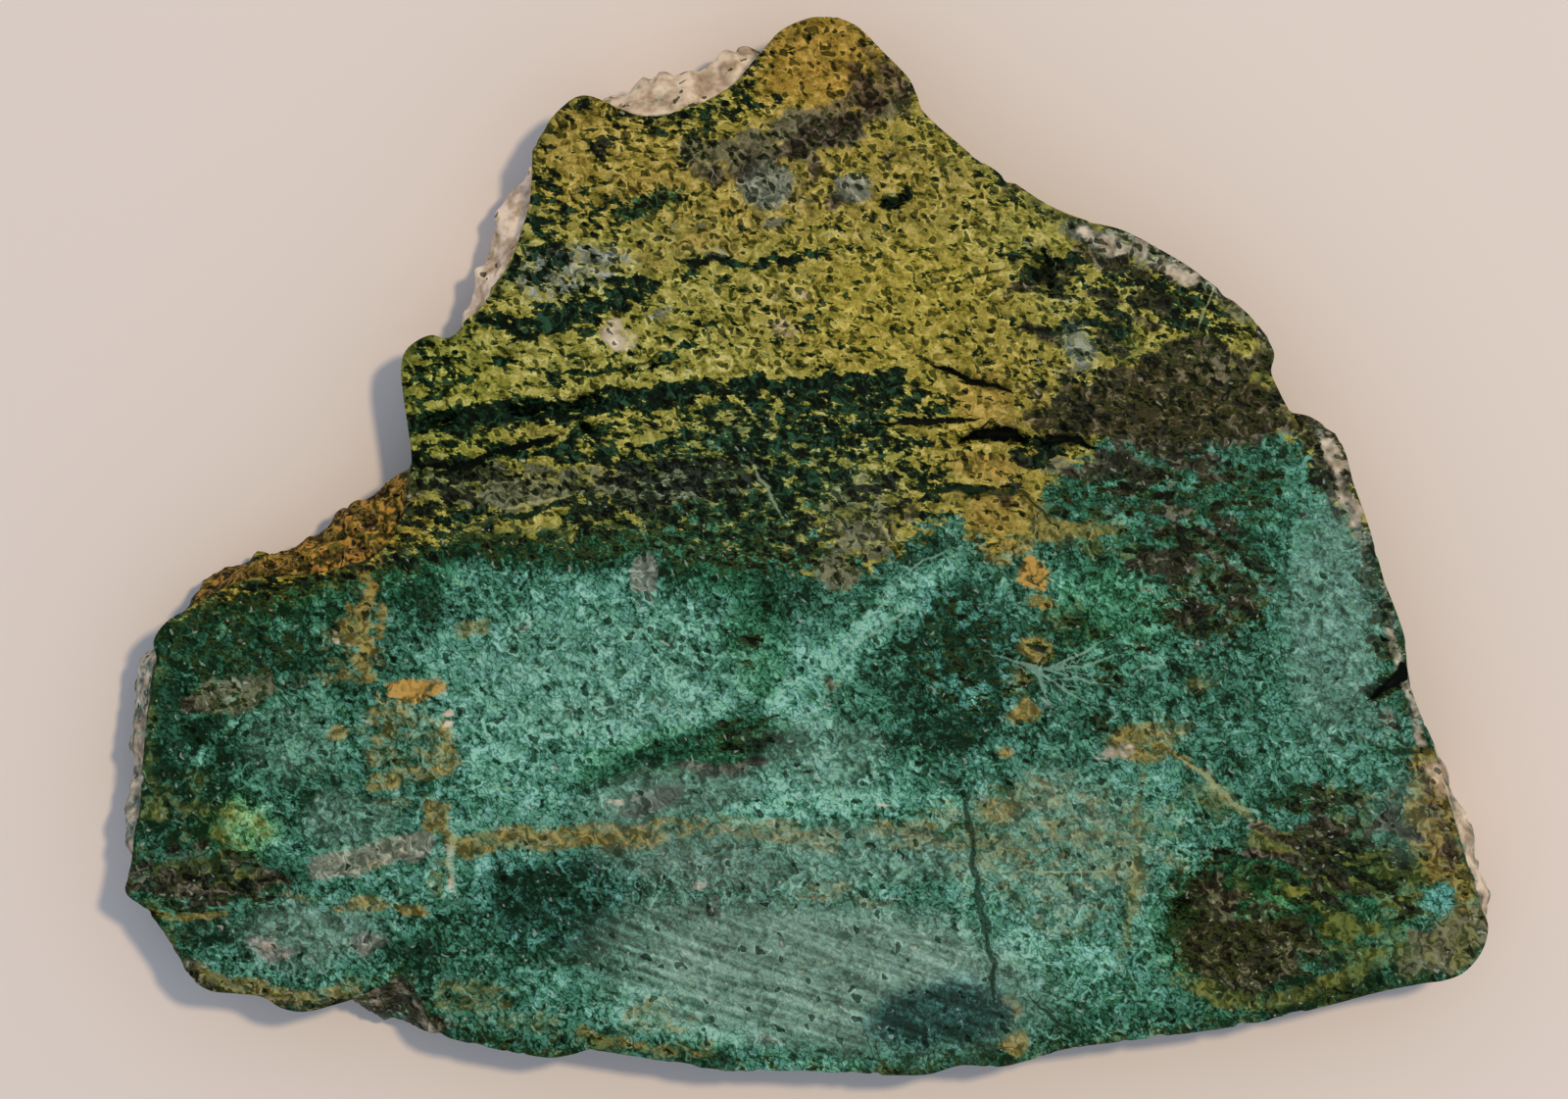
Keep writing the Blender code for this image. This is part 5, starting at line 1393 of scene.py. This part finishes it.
# %% Grain
BED_SHARE, STREAK_SHARE = 0.15, 0.4
BLOT_SHARE, RIPPLE_SHARE = 0.25, 0.42
ROUND_MIDDLE, ROUND_FALL = 0.72, -0.5
WORM_EDGE, STRAND_EDGE = (0.0, 0.08), (0.045, 0.005)  # distances from the noise's middle
grain = lean(lean(fine, bed, calc("MULTIPLY_ADD", streak, STREAK_SHARE, BED_SHARE)), blot, BLOT_SHARE)
grain = lean(grain, ripple_grain, calc("MULTIPLY", ripple, RIPPLE_SHARE))
worms = folded(grit, *WORM_EDGE)
strands = folded(beds[0], *STRAND_EDGE)
roundness = calc("MULTIPLY_ADD", speck_gap, ROUND_FALL, ROUND_MIDDLE)
print("nodes so far:", len(tree.nodes))

# %% [markdown]
# ## Masks
#
# `reach` adds a mineral's weight and a noise, and `cover` turns that into the mask. Where a mineral
# has no weight at all, `present` keeps its noise from leaving stray spots.

# %% Masks
WEIGHT_GAIN, WEIGHT_START = 2.3, -1.3
PRESENT_FROM = 0.1


def reach(weight, pattern, spread):
    """Above 0 where the mineral wins: the weight times its gain, plus its start and the noise about 0."""
    return calc("MULTIPLY_ADD", weight, WEIGHT_GAIN,
                calc("MULTIPLY_ADD", pattern, spread, WEIGHT_START - 0.5 * spread))


def present(weight, most):
    """0 where a mineral has no weight, `most` from a tenth on, in a straight line between."""
    return put("ShaderNodeMapRange", weight, 0.0, PRESENT_FROM, 0.0, most).outputs[0]


def cover(weight, pattern, spread, low, high, most):
    """The mineral's mask: an S-curve of its reach from `low` to `high`, at `most` 1 where it is thickest."""
    return calc("MULTIPLY", rise(reach(weight, pattern, spread), low, high), present(weight, most))


def lay(below, layers):
    """Lays minerals over a colour: (weight, pattern, spread, low, high, most, place on the ramp, stops)."""
    for *mask, place, stops in layers:
        below = blend(cover(*mask), below, ramp(place, *stops))
    return below


print("a weight of 1 reaches", WEIGHT_GAIN + WEIGHT_START)

# %% [markdown]
# ## Teal, green and gold
#
# The chrysocolla's colour is a ramp over the grain and the painted lightness, from almost black to
# a milky teal. Its greener kind has a ramp of its own, and the mustard rock runs over bedding and
# fine grain, brighter along its strands.

# %% Teal, green and gold
TEAL_CONTRAST, TEAL_START, WORM_SHADE = 2.3, -1.47, 0.4
GOLD_CONTRAST, GOLD_MIDDLE, STRAND_LIGHT = 3.1, 0.55, 0.2
TEAL = ((0.0, (0.003, 0.014, 0.005)), (0.2, (0.009, 0.036, 0.018)), (0.4, (0.027, 0.1, 0.063)),
        (0.6, (0.068, 0.205, 0.152)), (0.8, (0.13, 0.32, 0.255)), (1.0, (0.26, 0.5, 0.41)))
GREEN = ((0.0, (0.002, 0.013, 0.004)), (0.35, (0.011, 0.064, 0.027)), (0.7, (0.05, 0.2, 0.11)),
         (1.0, (0.16, 0.4, 0.25)))
GOLD = ((0.05, (0.024, 0.024, 0.0015)), (0.28, (0.118, 0.109, 0.014)), (0.52, (0.22, 0.195, 0.036)),
        (0.78, (0.33, 0.285, 0.062)), (1.0, (0.47, 0.42, 0.15)))
teal_place = calc("ADD", calc("MULTIPLY_ADD", grain, TEAL_CONTRAST, TEAL_START), light)
teal_place = calc("MULTIPLY_ADD", worms, WORM_SHADE, teal_place)
gold_place = calc("MULTIPLY_ADD", calc("SUBTRACT", lean(fine, bed, 0.5), 0.5), GOLD_CONTRAST, GOLD_MIDDLE)
gold_place = calc("MULTIPLY_ADD", strands, STRAND_LIGHT, gold_place)
colour = lay(ramp(teal_place, *TEAL), [
    (emerald, fines[1], 5.0, -0.8, 0.8, 1.0, teal_place, GREEN),
    (mustard, beds[2], 7.0, -0.4, 0.6, 1.0, gold_place, GOLD),
])
print("ramp stops:", len(TEAL), len(GREEN), len(GOLD))

# %% [markdown]
# ## Mineral by mineral
#
# The other colours are laid in the order in which they hide each other. Each runs over the fine
# grain from its dark to its light kind, and each has a noise of its own, so that two stains that
# lie in one place mix grain by grain.

# %% Stains
colour = lay(colour, [
    (drab, blots[2], 6.0, -0.4, 1.0, 1.0, fine,
     ((0.36, (0.03, 0.035, 0.016)), (0.64, (0.17, 0.17, 0.1)))),
    (olive, blots[0], 4.2, -0.6, 1.3, 1.0, fine,
     ((0.36, (0.033, 0.043, 0.007)), (0.64, (0.18, 0.185, 0.045)))),
    (ochre, beds[1], 3.4, -0.7, 1.3, 0.88, fine,
     ((0.36, (0.09, 0.068, 0.014)), (0.64, (0.355, 0.26, 0.065)))),
    (grey, fines[1], 4.0, -0.4, 1.2, 0.92, fine,
     ((0.36, (0.05, 0.062, 0.05)), (0.54, (0.14, 0.155, 0.12)), (0.7, (0.32, 0.34, 0.29)))),
    (brown, blots[1], 6.0, -0.5, 0.7, 0.94, fine,
     ((0.36, (0.006, 0.004, 0.002)), (0.5, (0.026, 0.022, 0.014)), (0.6, (0.066, 0.058, 0.039)),
      (0.68, (0.15, 0.135, 0.1)))),
])
print("nodes so far:", len(tree.nodes))

# %% [markdown]
# ## The dark mineral
#
# The dark blotches have edges in three steps, as the pits in the mustard rock have: a painted
# highlight along the rim, an olive edge, and ink inside. The ink is brown where the stone around it is
# brown, drab or ochre, and green-black elsewhere.

# %% Dark blotches
SPREAD = 10.0  # how strongly the noise shifts the blotches' edges
RIM_STEP, EDGE_STEP, INK_STEP = (-0.6, -0.2), (-0.22, 0.22), (0.2, 0.75)  # reaches where each edge rises
ROUND_SHARE, BLOTCH_HIGHLIGHT_STRENGTH = 0.22, 0.6
BLOTCH_RIM_HIGHLIGHT, OLIVE_EDGE = (1.35, 1.42, 1.15), (0.03, 0.042, 0.008)
GREEN_INK = ((0.4, (0.001, 0.003, 0.001)), (0.54, (0.003, 0.014, 0.006)), (0.68, (0.021, 0.062, 0.029)))
BROWN_INK = ((0.42, (0.002, 0.002, 0.001)), (0.66, (0.03, 0.031, 0.022)))
dark_reach = calc("ADD", reach(dark, lean(beds[1], roundness, ROUND_SHARE), SPREAD),
                  calc("SUBTRACT", present(dark, 1.0), 1.0))
dark_edge = rise(dark_reach, *EDGE_STEP)
blotch_rim_highlight = calc("SUBTRACT", rise(dark_reach, *RIM_STEP), dark_edge)
earthy = calc("MAXIMUM", calc("MAXIMUM", brown, drab), ochre)
ink = blend(earthy, ramp(fine, *GREEN_INK), ramp(fine, *BROWN_INK))
# A painted highlight along the dark blotches' rims, where their edges catch the light.
colour = blend(calc("MULTIPLY", blotch_rim_highlight, BLOTCH_HIGHLIGHT_STRENGTH), colour, BLOTCH_RIM_HIGHLIGHT, "MULTIPLY")
colour = blend(dark_edge, colour, OLIVE_EDGE)
colour = blend(rise(dark_reach, *INK_STEP), colour, ink)
print("nodes so far:", len(tree.nodes))

# %% [markdown]
# ## Haze and the clearest colours
#
# A milky haze lies over parts of the teal, dark spots and all. Orange and cream are the freshest
# stains and hide everything below them.

# %% Haze, orange and cream
HAZE_SHARE = 0.6
HAZE = ((0.36, (0.06, 0.1, 0.075)), (0.64, (0.26, 0.37, 0.3)))
ORANGE = ((0.38, (0.18, 0.095, 0.012)), (0.62, (0.48, 0.265, 0.055)))
CREAM = ((0.35, (0.3, 0.22, 0.15)), (0.6, (0.64, 0.53, 0.4)))
colour = blend(calc("MULTIPLY", haze, HAZE_SHARE), colour, ramp(grain, *HAZE))
colour = lay(colour, [
    (orange, fines[0], 4.5, -0.4, 1.2, 0.9, fine, ORANGE),
    (cream, blots[2], 3.5, -0.4, 0.9, 0.95, blot, CREAM),
])
print("nodes so far:", len(tree.nodes))

# %% [markdown]
# ## Specks
#
# Tiny pale dots on the sawn face are painted glints, fewest in the mustard rock, and round pits lie
# in it instead, painted as shade inside with a painted highlight round the rim. All are single cells
# of one Voronoi pattern, picked by their random colour and drawn from the distance to the cell's
# middle.

# %% Specks
GLINT_LUCK, PIT_LUCK = 1.38, 0.9  # a cell is picked when its random number is above this
GLINT_LOSS, PIT_GAIN = -0.09, 0.34  # what a full weight of mustard adds to the two random numbers
GLINT_SIZE, PIT_SHADE_SIZE, PIT_HALO_SIZE = (0.2, 0.09), (0.38, 0.28), (0.54, 0.44)  # from the rim in to full
GLINT_STRENGTH, PIT_SHADE_STRENGTH, PIT_HALO_HIGHLIGHT_STRENGTH = 0.36, 0.92, 0.5
GLINT_COLOUR, PIT_SHADE, PIT_HALO_HIGHLIGHT = (0.5, 0.56, 0.46), (0.15, 0.19, 0.16), (1.5, 1.5, 1.4)
# Painted glints: pale dots that stand in for the light's glints on the sawn face.
glint_number = calc("MULTIPLY_ADD", mustard, GLINT_LOSS, calc("ADD", speck_parts[0], blots[1]))
painted_glint = calc("MULTIPLY", calc("GREATER_THAN", glint_number, GLINT_LUCK), rise(speck_gap, *GLINT_SIZE))
colour = blend(calc("MULTIPLY", painted_glint, GLINT_STRENGTH), colour, GLINT_COLOUR)
# Painted shade inside small pits, ringed by a painted highlight on their rims.
picked = calc("GREATER_THAN", calc("MULTIPLY_ADD", mustard, PIT_GAIN, speck_parts[1]), PIT_LUCK)
pit_shade = calc("MULTIPLY", picked, rise(speck_gap, *PIT_SHADE_SIZE))
pit_halo_highlight = calc("SUBTRACT", calc("MULTIPLY", picked, rise(speck_gap, *PIT_HALO_SIZE)), pit_shade)
colour = blend(calc("MULTIPLY", pit_halo_highlight, PIT_HALO_HIGHLIGHT_STRENGTH), colour, PIT_HALO_HIGHLIGHT, "MULTIPLY")
colour = blend(calc("MULTIPLY", pit_shade, PIT_SHADE_STRENGTH), colour, PIT_SHADE, "MULTIPLY")
print("nodes so far:", len(tree.nodes))

# %% [markdown]
# ## Veins, openings and the tint
#
# Veins and cracks are drawn from the stored distances, made uneven by the fine grain. The open
# cracks are painted almost black, and the sunk pits and crack valleys darker, both painted shade.
# Last of all the tint multiplies the whole colour.


# %% Lines, cracks and tint
def line_mask(code, half, ragged, soft):
    """1 where the distance to a line is less than its half width, which the fine grain makes uneven."""
    gap = calc("ABSOLUTE", calc("MULTIPLY_ADD", code, 2 * LINE_REACH, -LINE_REACH))
    uneven = calc("MULTIPLY", half, calc("MULTIPLY_ADD", fine, ragged, 1 - 0.5 * ragged))
    return rise(calc("SUBTRACT", uneven, gap), -soft, soft)


GREEN_VEIN, YELLOW_VEIN = (0.24, 0.42, 0.33), (0.4, 0.38, 0.14)
HOLLOW_STEP, HOLLOW_SHADE = (0.3, 0.9), (0.3, 0.35, 0.25)
LINES = [  # distance code, half width, raggedness, softness, strength, colour
    (pale_code, pale_wide, 3.0, 0.06, 0.5, blend(calc("MAXIMUM", ochre, mustard), GREEN_VEIN, YELLOW_VEIN)),
    (dark_code, dark_wide, 3.6, 0.05, 0.85, (0.004, 0.017, 0.007)),
    # The cracks' near-black is painted shade in the open cracks.
    (crack_code, crack_wide, 2.6, 0.05, 1.0, (0.003, 0.005, 0.003)),
]
for *line, strength, line_colour in LINES:
    colour = blend(calc("MULTIPLY", line_mask(*line), strength), colour, line_colour)
# Painted shade in the sunk pits and crack valleys.
colour = blend(rise(hollow, *HOLLOW_STEP), colour, HOLLOW_SHADE, "MULTIPLY")
tint = put("ShaderNodeCombineColor", tint_red, tint_green, tint_blue).outputs[0]
tint = blend(1.0, tint, (1 / TINT_SCALE,) * 3, "MULTIPLY")
tree.links.new(blend(1.0, colour, tint, "MULTIPLY"), shader.inputs["Base Color"])
print("nodes:", len(tree.nodes))

# %% [markdown]
# ## Sheen and relief
#
# A sawn face is smooth but not polished. The spots of painted glint are glassier, the stains and
# crusts are dull, and the fine grain varies between the two. Grain and pores are low relief in a
# Bump node, a few hundredths of a mm deep.

# %% Roughness and bump
SMOOTHEST, GRAIN_DULLNESS = 0.32, 0.3
BUMP_STRENGTH, PORE_DEPTH = 0.7, 0.06 * MM
dull = calc("MULTIPLY_ADD", fine, GRAIN_DULLNESS, SMOOTHEST)
for weight, extra in ((ochre, 0.12), (cream, 0.25), (painted_glint, -0.2)):
    dull = calc("MULTIPLY_ADD", weight, extra, dull)
tree.links.new(dull, shader.inputs["Roughness"])
relief = put("ShaderNodeBump", BUMP_STRENGTH, PORE_DEPTH, None, grit)
tree.links.new(relief.outputs[0], shader.inputs["Normal"])
shader.inputs["IOR"].default_value = 1.5
shader.inputs["Specular IOR Level"].default_value = 0.03
mesh.materials.append(stone)
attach(slab, "root")
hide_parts("chrysocolla_slab")
print("material slots:", [slot.name for slot in slab.material_slots])

# %% [markdown]
# ## Floor, light and camera
#
# The slab lies on a plain pale floor. One soft key light stands high on the right and a little
# behind, so the slab's shadow falls to the lower left, and an even bluish sky fills it. The camera
# looks straight down from 380 mm above the sawn face.

# %% Floor
FLOOR_SIZE = 1.6  # m
FLOOR_DROP = 0.03 * MM  # a hair below the slab's back, so the two don't flicker
FLOOR_COLOUR = (0.705, 0.605, 0.548, 1)
half_floor = FLOOR_SIZE / 2
corners = [(x * half_floor, y * half_floor, -FLOOR_DROP) for x, y in ((-1, -1), (1, -1), (1, 1), (-1, 1))]
floor_mesh = bpy.data.meshes.new("floor")
floor_mesh.from_pydata(corners, [], [(0, 1, 2, 3)])
floor = bpy.data.objects.new("floor", floor_mesh)
bpy.context.scene.collection.objects.link(floor)
plaster = bpy.data.materials.new("floor_paint")
plaster.use_nodes = True
floor_shader = plaster.node_tree.nodes["Principled BSDF"]
floor_shader.inputs["Base Color"].default_value = FLOOR_COLOUR
floor_shader.inputs["Roughness"].default_value = 0.9
floor_mesh.materials.append(plaster)
print("floor side:", FLOOR_SIZE, "m")

# %% Light
KEY_DISTANCE, KEY_SIZE = 0.8, 0.06  # m
KEY_FROM = np.array([2.3, 1.3, 8.0])
SKY_LIGHT = np.array([0.5, 0.6, 0.74])  # the sky's share of each colour's light; the key gives the rest
towards_key = KEY_FROM / np.linalg.norm(KEY_FROM)
key_data = bpy.data.lights.new("key_light", "AREA")
key_data.shape = "DISK"
key_data.size = KEY_SIZE
# The power grows with the squared distance and with a lower angle, so the slab's light stays the same.
key_data.energy = math.pi**2 * KEY_DISTANCE**2 / towards_key[2]
key_data.color = 1 - SKY_LIGHT
key = bpy.data.objects.new("key_light", key_data)
key.location = towards_key * KEY_DISTANCE
key.rotation_euler = (math.atan2(math.hypot(*KEY_FROM[:2]), KEY_FROM[2]), 0,
                      math.atan2(KEY_FROM[1], KEY_FROM[0]) + math.pi / 2)
bpy.context.scene.collection.objects.link(key)
sky = bpy.data.worlds.new("studio_sky")
sky.use_nodes = True
sky.node_tree.nodes["Background"].inputs["Color"].default_value = (*SKY_LIGHT, 1)
sky.node_tree.nodes["Background"].inputs["Strength"].default_value = 1.0
bpy.context.scene.world = sky
bpy.context.scene.view_settings.view_transform = "Standard"
print("key light, W:", round(key_data.energy, 2))

# %% Camera
CAMERA_HEIGHT = 380.0  # mm above the sawn face
VIEW_WIDTH = 103.23  # mm of the face's plane that the view is wide
VIEW_MIDDLE = np.array([-1.58, -0.32])
SENSOR_WIDTH = 36.0
camera_data = bpy.data.cameras.new("camera")
camera_data.sensor_width = SENSOR_WIDTH
camera_data.lens = SENSOR_WIDTH * CAMERA_HEIGHT / VIEW_WIDTH
camera_data.clip_start = 0.01
camera = bpy.data.objects.new("camera", camera_data)
camera.location = (*(VIEW_MIDDLE - BOX_MIDDLE) * MM, (THICKNESS + CAMERA_HEIGHT) * MM)
bpy.context.scene.collection.objects.link(camera)
bpy.context.scene.camera = camera
print("lens, mm:", round(camera_data.lens, 1))
